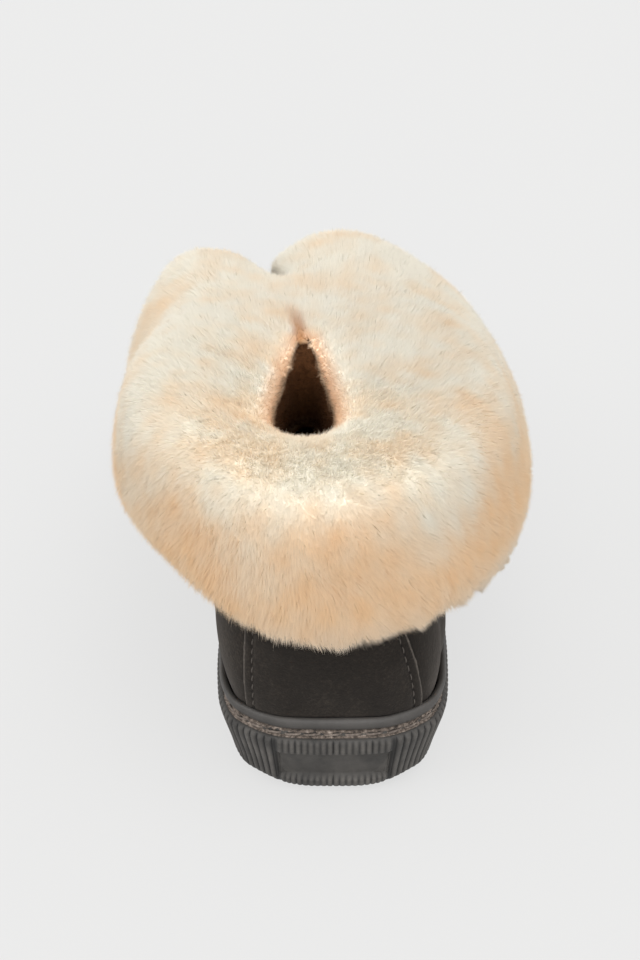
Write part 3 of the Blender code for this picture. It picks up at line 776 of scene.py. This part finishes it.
def crease_height(turn, rise):
    total = np.zeros(np.broadcast_shapes(np.shape(turn), np.shape(rise)))
    for middle, level, wide, long, lean, height in crease_rows:
        across = (turn - middle - lean * (rise - level)) / wide
        total = total + height * mm * np.exp(-(across**2) - ((rise - level) / long) ** 4)
    return total


upper_columns, upper_rows = 420, 60
upper_turns = np.arange(upper_columns) / upper_columns
outer_rises = np.linspace(0.0, 1.0, upper_rows)
turn_grid, rise_grid = np.meshgrid(upper_turns, outer_rises)
flat_skin = column_curve(turn_grid, rise_grid)
soft = crease_height(turn_grid, rise_grid) + 0.25 * mm * waves(flat_skin, 0.022, 31)
soft = soft * smooth(rise_grid, 0.02, 0.12)
outer_skin = skin(turn_grid, rise_grid, soft)
inner_rises = np.linspace(1.0, 0.0, 24)
turn_grid, rise_grid = np.meshgrid(upper_turns, inner_rises)
inner_skin = skin(turn_grid, rise_grid, -suede_wall)
upper_grid = np.concatenate([outer_skin, inner_skin])
upper_mesh = mesh_from("suede_upper", upper_grid, grid_faces(*upper_grid.shape[:2], True, True))
finish_piece("suede_upper", upper_mesh, suede_look.material, ["upper"])

# %% [markdown]
# ## Heel panel and its seams
# The back of the upper is covered by a separate piece of suede, sewn down along both sides. Its
# cut edge is raw hide and a shade paler. The thread shows as short bars between dark pinholes.
# The panel is lofted over the upper's surface, which keeps it close to the suede under it.

# %% Heel panel
panel_thickness, panel_width, panel_height, panel_narrowing = 0.0012, 0.060, 0.050, 0.08
panel_columns, panel_rows = 120, 90
seam_margin, seam_depth, edge_roll, panel_back = 3.0 * mm, 0.30 * mm, 0.45 * mm, 0.35 * mm


def panel_turn(across, up):
    """Turn of a place on the panel: across from -1 to 1, up from 0 at the rand to 1."""
    return 0.5 * across * panel_width * (1.0 - panel_narrowing * up) / (2 * half_edge)


def panel_rise(turn, up):
    height = blend(rand_height + 2 * clearance, panel_height, up)
    return rise_above_seat(turn, height)


def panel_skin(across, up, out):
    turn = panel_turn(across, up)
    return skin(turn, panel_rise(turn, up), out)


across_grid, up_grid = np.meshgrid(np.linspace(-1, 1, panel_columns), np.linspace(0, 1, panel_rows))
seam_place = 1.0 - seam_margin / (0.5 * panel_width)
seam_dip = np.exp(-(((np.abs(across_grid) - seam_place) / 0.030) ** 2))
rolled = (1.0 - smooth(1.0 - np.abs(across_grid), 0.0, 0.016)) * edge_roll
flat_panel = panel_skin(across_grid, up_grid, 0.0)
swell = 0.25 * mm * waves(flat_panel, 0.016, 41) + 0.10 * mm * waves(flat_panel, 0.005, 42)
face_out = clearance + panel_thickness - seam_depth * seam_dip - rolled + swell * (1.0 - seam_dip)
front_face = panel_skin(across_grid, up_grid, np.maximum(face_out, 0.9 * mm))
back_face = panel_skin(across_grid, up_grid, panel_back)
panel_grid = np.concatenate([front_face, back_face[:, ::-1]], axis=1)
panel_faces = grid_faces(*panel_grid.shape[:2], close_columns=True)
panel_mesh = mesh_from("heel_panel_suede", panel_grid, panel_faces)
finish_piece("heel_panel_suede", panel_mesh, suede_look.material, ["heel_panel"])

# %% Looks of raw edges, threads and pinholes
raw_look = Look("raw_hide_edge", (0.13, 0.112, 0.095), 0.95)
raw_cloud = raw_look.noise(800.0, 4.0, 0.7)
raw_tones = ((0.3, (0.026, 0.021, 0.017)), (0.7, (0.085, 0.072, 0.060)))
raw_look.wire(raw_look.ramp(raw_cloud, raw_tones), "Base Color")
seam_thread_look = Look("seam_thread", (0.045, 0.037, 0.030), 0.7)
seam_thread_look.wire(seam_thread_look.bump(seam_thread_look.noise(2500.0), 0.0001, 0.8), "Normal")
hole_look = Look("pinhole_dark", (0.004, 0.003, 0.003), 1.0)
for look in (raw_look, seam_thread_look, hole_look):
    print("seam look:", look.material.name)

# %% Edges, bars and holes along both seams
seam_pitch, edge_half, bar_half, hole_half = 3.1 * mm, 0.42 * mm, 0.23 * mm, 0.42 * mm
seam_count = int((panel_height - rand_height) / seam_pitch)
panel_face = clearance + panel_thickness
up_line = np.linspace(0.0, 1.0, 120)
along = np.linspace(0.0, 1.0, 7)
edge_parts, thread_parts, hole_parts = [], [], []
for side in (-1.0, 1.0):
    edge_path = panel_skin(np.full(len(up_line), side * 0.998), up_line, 0.95 * mm)
    edge_path += 0.10 * mm * waves(edge_path, 0.002, 51)[:, None]
    edge_parts.append(tube(edge_path, edge_half, 8))
    for stitch in range(seam_count):
        low_up = (stitch + 0.35) / seam_count
        bar_up = low_up + along * 0.62 / seam_count
        bar_across = side * seam_place + dice.uniform(-0.006, 0.006) + (along - 0.5) * 0.008
        bar_out = panel_face - 0.32 * mm + 0.30 * mm * np.sin(along * math.pi)
        bar = panel_skin(bar_across, bar_up, bar_out)
        thread_parts.append(tube(bar, bar_half * (0.6 + 0.4 * np.sin(along * math.pi)), 6))
        hole_up = low_up - 0.19 / seam_count
        hole_ends = panel_face + np.array([-0.9, -0.12]) * mm
        hole_path = panel_skin(np.full(2, side * seam_place), np.full(2, hole_up), hole_ends)
        hole_parts.append(tube(hole_path, [0.1 * mm, hole_half], 8))
        hole_lid = hole_path[::-1] + (hole_path[1] - hole_path[0]) * 0.02
        hole_parts.append(tube(hole_lid, [hole_half, 0.001 * mm], 8))
finish_parts("panel_raw_edges", edge_parts, raw_look)
finish_parts("panel_threads", thread_parts, seam_thread_look)
finish_parts("panel_pinholes", hole_parts, hole_look)

# %% [markdown]
# ## Footbed
# Inside lies a soft footbed. It is a closed pad whose top swells a little and falls towards
# its sides, in dark brown pile. Only a little of it shows through the opening, so noise in the
# colour and the bump stands for the pile.

# %% Footbed
footbed_look = Look("brown_pile", (0.16, 0.085, 0.045), 0.95)
pile_cloud = footbed_look.noise(500.0, 5.0, 0.7)
pile_tones = ((0.3, (0.06, 0.030, 0.016)), (0.7, (0.26, 0.15, 0.085)))
footbed_look.wire(footbed_look.ramp(pile_cloud, pile_tones), "Base Color")
footbed_look.wire(footbed_look.bump(pile_cloud, 0.001, 1.0), "Normal")
insole_thickness, bed_edge_fall, bed_lumps = 0.0045, 0.35, 0.25 * mm
bed_inset = feather_inset + suede_wall + 3 * clearance
bed_along = np.linspace(0.012, 0.988, 150)
bed_across = np.linspace(0.0, 1.0, 41)
outer_edge = inset_point(0.5 * bed_along, np.full(len(bed_along), bed_inset))
inner_edge = inset_point(1.0 - 0.5 * bed_along, np.full(len(bed_along), bed_inset))
flat_bed = inner_edge[:, None] + (outer_edge - inner_edge)[:, None] * bed_across[None, :, None]
bed_base = seat_height(flat_bed[..., 1]) + clearance
bed_swell = insole_thickness * (1.0 - bed_edge_fall * (2 * bed_across[None, :] - 1.0) ** 6)
bed_swell = bed_swell + bed_lumps * waves(np.dstack([flat_bed, bed_base]), 0.004, 61)
bed_top = np.dstack([flat_bed, bed_base + bed_swell])
bed_low = np.dstack([flat_bed, bed_base])[:, ::-1]
bed_grid = np.concatenate([bed_top, bed_low], axis=1)
pad_faces = grid_faces(*bed_grid.shape[:2], close_columns=True)[:, ::-1]
bed_mesh = mesh_from("footbed_pad", bed_grid, pad_faces)
finish_piece("footbed_pad", bed_mesh, footbed_look.material, ["insole"])

# %% [markdown]
# ## Fleece: the thick part
# Long wool cannot be modelled hair by hair from the hide up. Only the outer few millimetres show,
# so the fleece is made in two layers: a soft closed body a little smaller than the cuff's solid,
# and on it a coat of fine strands that reach the solid's face. The body starts from the solid
# itself, remeshed into even little squares, then smoothed so that no facet or lock is left.


# %% Smooth body inside the cuff
def evaluated_mesh(piece):
    graph = bpy.context.evaluated_depsgraph_get()
    return bpy.data.meshes.new_from_object(piece.evaluated_get(graph))


def even_squares(node, size):
    """A copy of a solid as an even net of squares of about one size."""
    work = bmesh.new()
    work.from_mesh(nodes[node].data)
    bmesh.ops.remove_doubles(work, verts=work.verts, dist=0.00001)
    mesh = bpy.data.meshes.new("work")
    work.to_mesh(mesh)
    work.free()
    piece = bpy.data.objects.new("work", mesh)
    bpy.context.scene.collection.objects.link(piece)
    remesh = piece.modifiers.new("even", "REMESH")
    remesh.mode = "VOXEL"
    remesh.voxel_size = size
    result = evaluated_mesh(piece)
    bpy.data.objects.remove(piece)
    points = np.empty(len(result.vertices) * 3)
    result.vertices.foreach_get("co", points)
    faces = np.array([tuple(face.vertices) for face in result.polygons if len(face.vertices) == 4])
    edges = np.empty(len(result.edges) * 2, int)
    result.edges.foreach_get("vertices", edges)
    return points.reshape(-1, 3), faces, edges.reshape(-1, 2)


def relax(points, edges, times, strength=0.5):
    """Moves every point towards the middle of its neighbours, a number of times."""
    count = np.bincount(edges.ravel(), minlength=len(points))[:, None]
    for _ in range(times):
        total = np.zeros_like(points)
        np.add.at(total, edges[:, 0], points[edges[:, 1]])
        np.add.at(total, edges[:, 1], points[edges[:, 0]])
        points = points + strength * (total / count - points)
    return points


def point_normals(points, faces):
    crossed = np.cross(points[faces[:, 2]] - points[faces[:, 0]], points[faces[:, 3]] - points[faces[:, 1]])
    total = np.zeros_like(points)
    for corner in range(4):
        np.add.at(total, faces[:, corner], crossed)
    return total / np.maximum(np.linalg.norm(total, axis=1, keepdims=True), 1e-12)


body_points, body_faces, body_edges = even_squares("cuff", 2.4 * mm)
body_points = relax(body_points, body_edges, 28)
body_normals = point_normals(body_points, body_faces)
print("fleece body:", len(body_points), "points")

# %% [markdown]
# The folded shaft has wool on its outside only. Where the cuff lies against the upper it is bare
# hide, so those places are found by how near the suede is, and get no strands and no shrinking.

# %% Throat and slit in plan
throat_start, throat_length, throat_middle, throat_half = 7.0 * mm, 52.0 * mm, -9.0 * mm, 8.0 * mm
throat_shape = ((0.0, 0.30), (0.02, 0.66), (0.10, 1.00), (0.36, 0.95), (0.68, 0.62), (1.0, 0.06))
throat_squeeze = 0.6 * mm
# The slit's line in plan, in mm, from the throat to the front of the fold.
crease_path = np.array([(-9.5, 58.0), (-12.0, 72.0), (-17.0, 92.0), (-23.0, 118.0), (-31.0, 162.0)]) * mm


def from_throat(points):
    """How far outside the throat's outline a place is, seen from above, and the way outward."""
    shares, widths = np.array(throat_shape).T
    along = (points[:, 1] - throat_start) / throat_length
    near_share = np.clip(along, 0.0, 1.0)
    half = np.interp(near_share, shares, widths) * throat_half
    across = points[:, 0] - throat_middle
    beyond = (along - near_share) * throat_length
    side_gap = np.abs(across) - half
    distance = np.hypot(np.maximum(side_gap, 0.0), beyond) + np.minimum(side_gap, 0.0) * (beyond == 0.0)
    core_share = near_share * 0.6 + 0.2
    core = blend(throat_start, throat_start + throat_length, core_share)
    away = np.column_stack([across, points[:, 1] - core])
    return distance, away / np.maximum(np.linalg.norm(away, axis=1, keepdims=True), 1e-9)


def from_crease(points):
    """Distance in plan from the slit's line, and how far along it the nearest place is."""
    best = np.full(len(points), 1.0)
    where = np.zeros(len(points))
    for index, (start, end) in enumerate(zip(crease_path, crease_path[1:])):
        step = end - start
        share = np.clip(((points[:, :2] - start) @ step) / (step @ step), 0.0, 1.0)
        gap = np.linalg.norm(points[:, :2] - start - share[:, None] * step, axis=1)
        where = np.where(gap < best, (index + share) / (len(crease_path) - 1), where)
        best = np.minimum(best, gap)
    return best, where


def near_slit(points):
    """1 on the wool beside the slit, where the two ends of the fold meet."""
    gap, along = from_crease(points)
    close = 1.0 - smooth(gap, 10.0 * mm, 18.0 * mm)
    return close * smooth(along, 0.15, 0.35) * smooth(points[:, 2], 0.050, 0.062)


def lining_share(points):
    """1 on the brown lining inside the throat, 0 on the pale wool."""
    distance, _ = from_throat(points)
    return (1.0 - smooth(distance, 1.3 * mm, 2.0 * mm)) * (1.0 - smooth(points[:, 2], 0.1145, 0.1175))


# %% [markdown]
# The solid has a groove along the slit and a low place between the two lobes. Real wool grows
# into such hollows and closes them from above. The fill finds them as a builder levels ground:
# a height map is spread upward and drawn back again, and what stays higher than before is the
# wool's own bridge. The throat is kept open, and the notch between the lobes stays a soft V.

# %% Filling the hollows on top
cell, close_reach, smoothings, most_fill = 2.5 * mm, 7, 6, 12.0 * mm
plan_low, plan_cells = np.array([-0.090, -0.060]), (72, 96)
notch_drop, notch_half = 8.0 * mm, 22.0 * mm


def spread(field, pick):
    """Every cell takes the largest or smallest value within close_reach cells of it."""
    for axis in (0, 1):
        wide = np.pad(field, [(close_reach, close_reach)] * 2, mode="edge")
        shifts = range(-close_reach, close_reach + 1)
        rows, columns = field.shape
        layers = []
        for shift in shifts:
            row = close_reach + (shift if axis == 0 else 0)
            column = close_reach + (shift if axis == 1 else 0)
            layers.append(wide[row : row + rows, column : column + columns])
        field = pick(layers, axis=0)
    return field


def fill_hollows(points, normals):
    """Height that wool adds over hollows up to about 35 mm wide, less the notch between the lobes."""
    place = np.clip(((points[:, :2] - plan_low) / cell).astype(int), 0, np.array(plan_cells) - 1)
    field = np.zeros(plan_cells)
    upward = normals[:, 2] > 0.05
    np.maximum.at(field, (place[upward, 0], place[upward, 1]), points[upward, 2])
    closed = spread(spread(field, np.max), np.min)
    for _ in range(smoothings):
        closed = 0.25 * sum(np.roll(closed, step, axis) for axis in (0, 1) for step in (-1, 1))
    lift = np.clip(closed[place[:, 0], place[:, 1]] - points[:, 2], 0.0, most_fill)
    distance, _ = from_throat(points)
    gap, _ = from_crease(points)
    line_x = np.interp(points[:, 1], crease_path[:, 1], crease_path[:, 0])
    right_side = smooth(points[:, 0] - line_x, -2.0 * mm, 3.0 * mm)
    notch = 1.0 - smooth(gap, 0.0, notch_half)
    notch = notch * smooth(points[:, 1], 0.098, 0.124) * smooth(points[:, 2], 0.080, 0.100)
    notch = notch * blend(0.25, 1.0, right_side)
    beside_slit = (1.0 - smooth(gap, 5.0 * mm, 11.0 * mm)) * smooth(points[:, 2], 0.088, 0.100)
    share = smooth(distance, 3.0 * mm, 12.0 * mm) * np.maximum(smooth(normals[:, 2], 0.0, 0.35), beside_slit)
    return 0.9 * lift * share - notch_drop * notch


# %% Hide side
suede_faces = grid_faces(*upper_grid.shape[:2], True, True).tolist()
suede_tree = BVHTree.FromPolygons([tuple(p) for p in upper_grid.reshape(-1, 3)], suede_faces)
near_suede = 12.0 * mm
hide = np.zeros(len(body_points))
for index, (point, normal) in enumerate(zip(body_points, body_normals)):
    near, _, _, distance = suede_tree.find_nearest(Vector(point), near_suede)
    if near is None:
        continue
    to_suede = (np.array(near) - point) / max(distance, 1e-6)
    facing = smooth(float(to_suede @ normal), 0.15, 0.6)
    hide[index] = facing * (1.0 - smooth(distance, 6.0 * mm, 11.0 * mm))
hide = relax(hide[:, None], body_edges, 2)[:, 0]
hide *= 1.0 - near_slit(body_points)
print("share of the body that is bare hide:", round(float(hide.mean()), 2))

# %% [markdown]
# The wool's depth is the way from the body to the solid's face. It is less where the fold is
# thin, on top, where tips lie close, and at the throat's rim. The body is drawn in by that depth,
# so the tips end where the solid does.

# %% Depth of wool
low_depth, top_depth, most_thick = 3.0 * mm, 1.3 * mm, 50.0 * mm
body_tree = BVHTree.FromPolygons([tuple(p) for p in body_points], body_faces.tolist())
thick = np.full(len(body_points), most_thick)
for index, (point, normal) in enumerate(zip(body_points, body_normals)):
    start = Vector(point - normal * 0.5 * mm)
    _, _, _, distance = body_tree.ray_cast(start, Vector(-normal), most_thick)
    if distance is not None:
        thick[index] = distance
thick = relax(thick[:, None], body_edges, 6)[:, 0]
rim_gap, _ = from_throat(body_points)
full_depth = blend(low_depth, top_depth, smooth(body_points[:, 2], 0.080, 0.106))
from_rim = blend(0.15, 1.0, smooth(rim_gap, 1.5 * mm, 8.0 * mm))
wool_depth = np.minimum(full_depth, 0.30 * thick) * (1.0 - hide) * from_rim
wool_depth = relax(wool_depth[:, None], body_edges, 4)[:, 0]
print("depth of the wool in mm: up to", round(wool_depth.max() / mm, 1))

# %% The bed from which the wool grows
bed_points = relax(body_points - body_normals * wool_depth[:, None], body_edges, 6)
bed_points[:, 2] += fill_hollows(bed_points, point_normals(bed_points, body_faces))
distance, away = from_throat(bed_points)
rim_share = 1.0 - smooth(distance, 1.0 * mm, 7.0 * mm)
squeeze = throat_squeeze * rim_share * smooth(bed_points[:, 2], 0.070, 0.090)
bed_points[:, :2] -= away * squeeze[:, None]
free_of_rim = smooth(distance, 3.0 * mm, 12.0 * mm)[:, None]
at_rim, elsewhere = relax(bed_points, body_edges, 3), relax(bed_points, body_edges, 14)
bed_points = blend(at_rim, elsewhere, free_of_rim)
gap, _ = from_crease(bed_points)
at_notch = (1.0 - smooth(gap, 10.0 * mm, 24.0 * mm)) * smooth(bed_points[:, 1], 0.095, 0.115)
bed_points = blend(bed_points, relax(bed_points, body_edges, 30), at_notch[:, None])
wool_normals = point_normals(bed_points, body_faces)
print("bed of the wool reaches", round(bed_points[:, 2].max() / mm, 1), "mm high")

# %% [markdown]
# ## Colour of the wool
# The wool is cream on top and palest at the hem's tips. Where the fold turns down it is warmer,
# partly a peach tint and partly painted warm shade. Wool deepens in colour where light has to
# pass through more of it, so painted orange-brown shade lies on the rim of the throat and in the
# crease at the slit. The lining below them is brown, painted near-black with shade near its top
# and paler lower down with painted light that falls in. The roots are painted a little darker,
# as shade under the strands. These slow changes are worked out for each point and kept in the
# mesh as a colour attribute.

# %% Colours of the wool
# The peach, partly tint and partly painted warm shade, starts below peach_high and is full below
# peach_low. The rim and crease colours are painted shade, the lining's two colours are painted
# shade at its top and painted light lower down, and the root tone is painted shade at the roots.
cream, peach, hem_pale = (0.95, 0.915, 0.825), (0.95, 0.715, 0.460), (0.93, 0.86, 0.755)
rim_warm_shade, crease_shade = (0.86, 0.58, 0.36), (0.62, 0.34, 0.16)
lining_top_shade, lining_low_light = (0.050, 0.020, 0.007), (0.95, 0.60, 0.32)
peach_low, peach_high, root_shade = 0.082, 0.112, 0.94


def toward(colours, other, share):
    return blend(colours, np.array(other), np.clip(share, 0.0, 1.0)[:, None])


def wool_colours(points, share):
    """Colour of the wool from root (share 0) to tip (share 1)."""
    cloud = 0.5 + 0.5 * waves(points, 0.014, 71)
    fine = 0.5 + 0.5 * waves(points, 0.0045, 72)
    # Low down, where the fold turns down, peach comes in: partly tint, partly painted warm shade.
    low = 1.0 - smooth(points[:, 2] + 0.011 * waves(points, 0.024, 73), peach_low, peach_high)
    low = low * (1.0 - 0.7 * smooth(points[:, 1], 0.030, 0.080))
    colours = np.tile(np.array(cream), (len(points), 1))
    colours = toward(colours, peach, 0.85 * low + 0.30 * cloud * (1.0 - low) + 0.22 * (fine - 0.5) - 0.04)
    hem = (1.0 - smooth(points[:, 2], 0.054, 0.074)) * (0.25 + 0.65 * smooth(share, 0.3, 1.0))
    colours = toward(colours, hem_pale, hem)
    distance, _ = from_throat(points)
    # Painted warm shade on the rim of the throat.
    colours = toward(colours, rim_warm_shade, 0.9 * (1.0 - smooth(distance, 1.0 * mm, 8.0 * mm)))
    gap, along = from_crease(points)
    near_crease = (1.0 - smooth(gap, 0.3 * mm, 3.6 * mm)) * (1.0 - smooth(along, 0.12, 0.42))
    # Painted shade in the crease at the slit.
    colours = toward(colours, crease_shade, near_crease * (1.0 - 0.35 * share))
    # Painted shade at the roots, under the strands.
    colours = colours * blend(root_shade, 1.0, share)[:, None]
    # The lining: painted shade near its top, painted light lower down where light falls in.
    deep = 1.0 - smooth(points[:, 2], 0.080, 0.092)
    lining = blend(np.array(lining_top_shade), np.array(lining_low_light), deep[:, None])
    return blend(colours, lining, lining_share(points)[:, None])


# %% Fleece body piece
def fleece_material(name, through):
    """Wool sends light back, and thin strands let a share of it through."""
    look = Look(name, cream, 0.95)
    tint = look.tree.nodes.new("ShaderNodeVertexColor")
    tint.layer_name = "wool_tint"
    look.wire(tint.outputs["Color"], "Base Color")
    look.shader.inputs["Specular IOR Level"].default_value = 0.08
    if through > 0.0:
        passed = look.node("ShaderNodeBsdfTranslucent", Color=tint.outputs["Color"])
        mixed = look.tree.nodes.new("ShaderNodeMixShader")
        mixed.inputs[0].default_value = through
        look.tree.links.new(look.shader.outputs[0], mixed.inputs[1])
        look.tree.links.new(passed.outputs[0], mixed.inputs[2])
        look.tree.links.new(mixed.outputs[0], look.tree.nodes["Material Output"].inputs["Surface"])
    return look


def set_tint(mesh, colours):
    layer = mesh.color_attributes.new("wool_tint", "FLOAT_COLOR", "POINT")
    full = np.ones((len(colours), 4), np.float32)
    full[:, :3] = np.clip(colours, 0.0, 0.97)
    layer.data.foreach_set("color", full.ravel())


body_look = fleece_material("fleece_body_wool", 0.0)
body_look.wire(body_look.bump(body_look.noise(500.0, 5.0, 0.7), 0.0006, 1.0), "Normal")
strand_look = fleece_material("fleece_strands", 0.5)
fleece_mesh = mesh_from("fleece_body", bed_points, body_faces)
set_tint(fleece_mesh, wool_colours(bed_points, np.full(len(bed_points), 0.1)))
finish_piece("fleece_body", fleece_mesh, body_look.material, ["cuff"])

# %% [markdown]
# ## Fleece: the coat of strands
# Each strand is one long thin triangle from the body to the solid's face. Strands near each other
# lean to one tip, so they gather in small tufts, largest and most ragged along the hem, and a slow
# change of direction keeps the coat from looking combed. Their normals are set to the body's own,
# which is what makes hair-thin triangles shade softly, like one mass.

# %% Direction and places of the strands
strand_width, tip_stray = 0.22 * mm, 0.75 * mm
over_face, hem_extra = 1.1 * mm, 1.6 * mm
tuft_spacing = 2.6 * mm


def flow_of(points, normals):
    """Direction in which the wool lies: outward from the throat and down, upright at its rim.

    Its length is from 0, where the wool stands upright, to 1."""
    distance, away = from_throat(points)
    low = 1.0 - smooth(points[:, 2], 0.090, 0.112)
    aim = np.column_stack([away * smooth(distance, 0.0, 12.0 * mm)[:, None], -0.35 - 0.9 * low])
    aim -= normals * np.sum(aim * normals, axis=1, keepdims=True)
    turn = 0.30 * waves(points, 0.020, 81) + 0.22 * waves(points, 0.007, 82) + 0.25 * low
    across = np.cross(normals, aim)
    aim = aim * np.cos(turn)[:, None] + across * np.sin(turn)[:, None]
    return aim / np.maximum(np.linalg.norm(aim, axis=1, keepdims=True), 0.3)


def sample_body(count, weights, dice):
    """Places scattered over the body's squares, as point, normal and depth of wool there."""
    chosen = dice.choice(len(body_faces), size=count, p=weights / weights.sum())
    u, v = dice.random((2, count, 1))
    corners = body_faces[chosen]
    shares = ((1 - u) * (1 - v), u * (1 - v), u * v, (1 - u) * v)
    place = sum(share * bed_points[corners[:, k]] for k, share in enumerate(shares))
    normal = sum(share * wool_normals[corners[:, k]] for k, share in enumerate(shares))
    depth = sum(share * wool_depth[corners[:, k]][:, None] for k, share in enumerate(shares))
    return place, normal / np.linalg.norm(normal, axis=1, keepdims=True), depth


face_centres = bed_points[body_faces].mean(axis=1)
face_cross = np.cross(
    bed_points[body_faces[:, 2]] - bed_points[body_faces[:, 0]],
    bed_points[body_faces[:, 3]] - bed_points[body_faces[:, 1]],
)
face_area = 0.5 * np.linalg.norm(face_cross, axis=1)
bare = hide[body_faces].mean(axis=1)
face_down = face_cross[:, 2] / (2.0 * face_area)
face_weight = face_area * (1.0 - smooth(bare, 0.2, 0.6)) * (1.0 - 0.7 * lining_share(face_centres))
face_weight = face_weight * smooth(face_down, -0.96, -0.70)
low_share = 1.0 - smooth(face_centres[:, 2], 0.056, 0.068)
tuft_weight = face_weight * (1.0 - 0.55 * low_share)
face_weight = face_weight * (1.0 + 1.5 * low_share)


# %% Tufts
def reach_of(points, normals, depth):
    """Height of the tips over the body, less inside the throat, and how far they lean."""
    short = 1.0 - 0.75 * lining_share(points)
    distance, _ = from_throat(points)
    short = short * blend(0.35, 1.0, smooth(distance, 0.002, 0.014))
    hem = 1.0 - smooth(points[:, 2], 0.052, 0.066)
    height = (depth + over_face + (hem_extra * hem)[:, None]) * short[:, None]
    lean = (1.0 + 0.7 * hem)[:, None]
    return height, lean, hem[:, None]


def tuft_table(dice):
    """Where tufts gather: the root and the tip of each, at its own height and lean."""
    wanted = int(tuft_weight.sum() / tuft_spacing**2)
    place, normal, depth = sample_body(wanted, tuft_weight, dice)
    height, lean, hem = reach_of(place, normal, depth)
    even, ragged = dice.uniform(0.80, 1.10, (wanted, 1)), dice.uniform(0.55, 1.55, (wanted, 1))
    height = height * blend(even, ragged, hem)
    leaned = flow_of(place, normal) * lean * height * dice.uniform(0.7, 1.3, (wanted, 1))
    return place, place + normal * height + leaned


tuft_place, tuft_tip = tuft_table(np.random.default_rng(90))
tuft_tree = KDTree(len(tuft_place))
for index, place in enumerate(tuft_place):
    tuft_tree.insert(place, index)
tuft_tree.balance()
print("tufts:", len(tuft_place))


# %% Strands
def strand_tips(place, normal, depth, dice):
    """Where each strand ends: partly its own way, partly at its tuft's tip."""
    count = len(place)
    tuft = np.array([tuft_tree.find(point)[1] for point in place])
    height, lean, hem = reach_of(place, normal, depth)
    height = height * dice.uniform(0.70, 1.0, (count, 1)) ** (1.0 - 0.5 * hem)
    leaned = flow_of(place, normal) * height * lean * dice.uniform(0.5, 1.5, (count, 1))
    own_tip = place + normal * height + leaned
    own_tip += dice.normal(size=(count, 3)) * tip_stray
    loose, tight = dice.uniform(0.10, 0.55, (count, 1)), dice.uniform(0.75, 1.0, (count, 1))
    shared = tuft_tip[tuft] + (place - tuft_place[tuft]) * (0.45 - 0.36 * hem)
    return blend(own_tip, shared, loose * (1.0 - hem) + tight * hem)


def soften(mesh, normal, along):
    """Gives every corner of a strand the body's normal, turned a little along the strand."""
    layer = mesh.attributes.new("custom_normal", "FLOAT_VECTOR", "POINT")
    soft_normal = np.repeat(normal + 0.25 * along, 3, axis=0)
    soft_normal /= np.linalg.norm(soft_normal, axis=1, keepdims=True)
    layer.data.foreach_set("vector", soft_normal.astype(np.float32).ravel())


def strand_piece(name, count, weights, seed):
    dice = np.random.default_rng(seed)
    place, normal, depth = sample_body(count, weights, dice)
    tip = strand_tips(place, normal, depth, dice)
    along = tip - place
    along /= np.linalg.norm(along, axis=1, keepdims=True)
    side = np.cross(normal + 0.28 * dice.normal(size=(count, 3)), along)
    side /= np.linalg.norm(side, axis=1, keepdims=True)
    half = 0.5 * strand_width * dice.uniform(0.7, 1.2, (count, 1))
    points = np.stack([place + side * half, place - side * half, tip], axis=1).reshape(-1, 3)
    mesh = mesh_from(name, points, np.arange(3 * count).reshape(-1, 3))
    soften(mesh, normal, along)
    tints = wool_colours(points, np.tile([0.2, 0.2, 1.0], count))
    tints *= np.repeat(dice.uniform(0.95, 1.04, (count, 1)), 3, axis=0)
    set_tint(mesh, tints)
    return finish_piece(name, mesh, strand_look.material)


# %% [markdown]
# The coat is made as four pieces, back, front and both sides, whose borders fade into each other.
# That keeps each mesh small enough to handle, and no seam shows.

# %% Four pieces of the coat
back_share = 1.0 - smooth(face_centres[:, 1], 0.018, 0.030)
front_share = smooth(face_centres[:, 1], 0.085, 0.098)
middle_share = (1.0 - back_share) * (1.0 - front_share)
outer_share = smooth(face_centres[:, 0], -0.010, 0.004)
strand_count = 146000
strand_piece("fleece_back", strand_count, face_weight * back_share, 101)
strand_piece("fleece_outer_side", strand_count, face_weight * middle_share * outer_share, 102)
strand_piece("fleece_inner_side", strand_count, face_weight * middle_share * (1.0 - outer_share), 103)
strand_piece("fleece_front", strand_count, face_weight * front_share, 104)
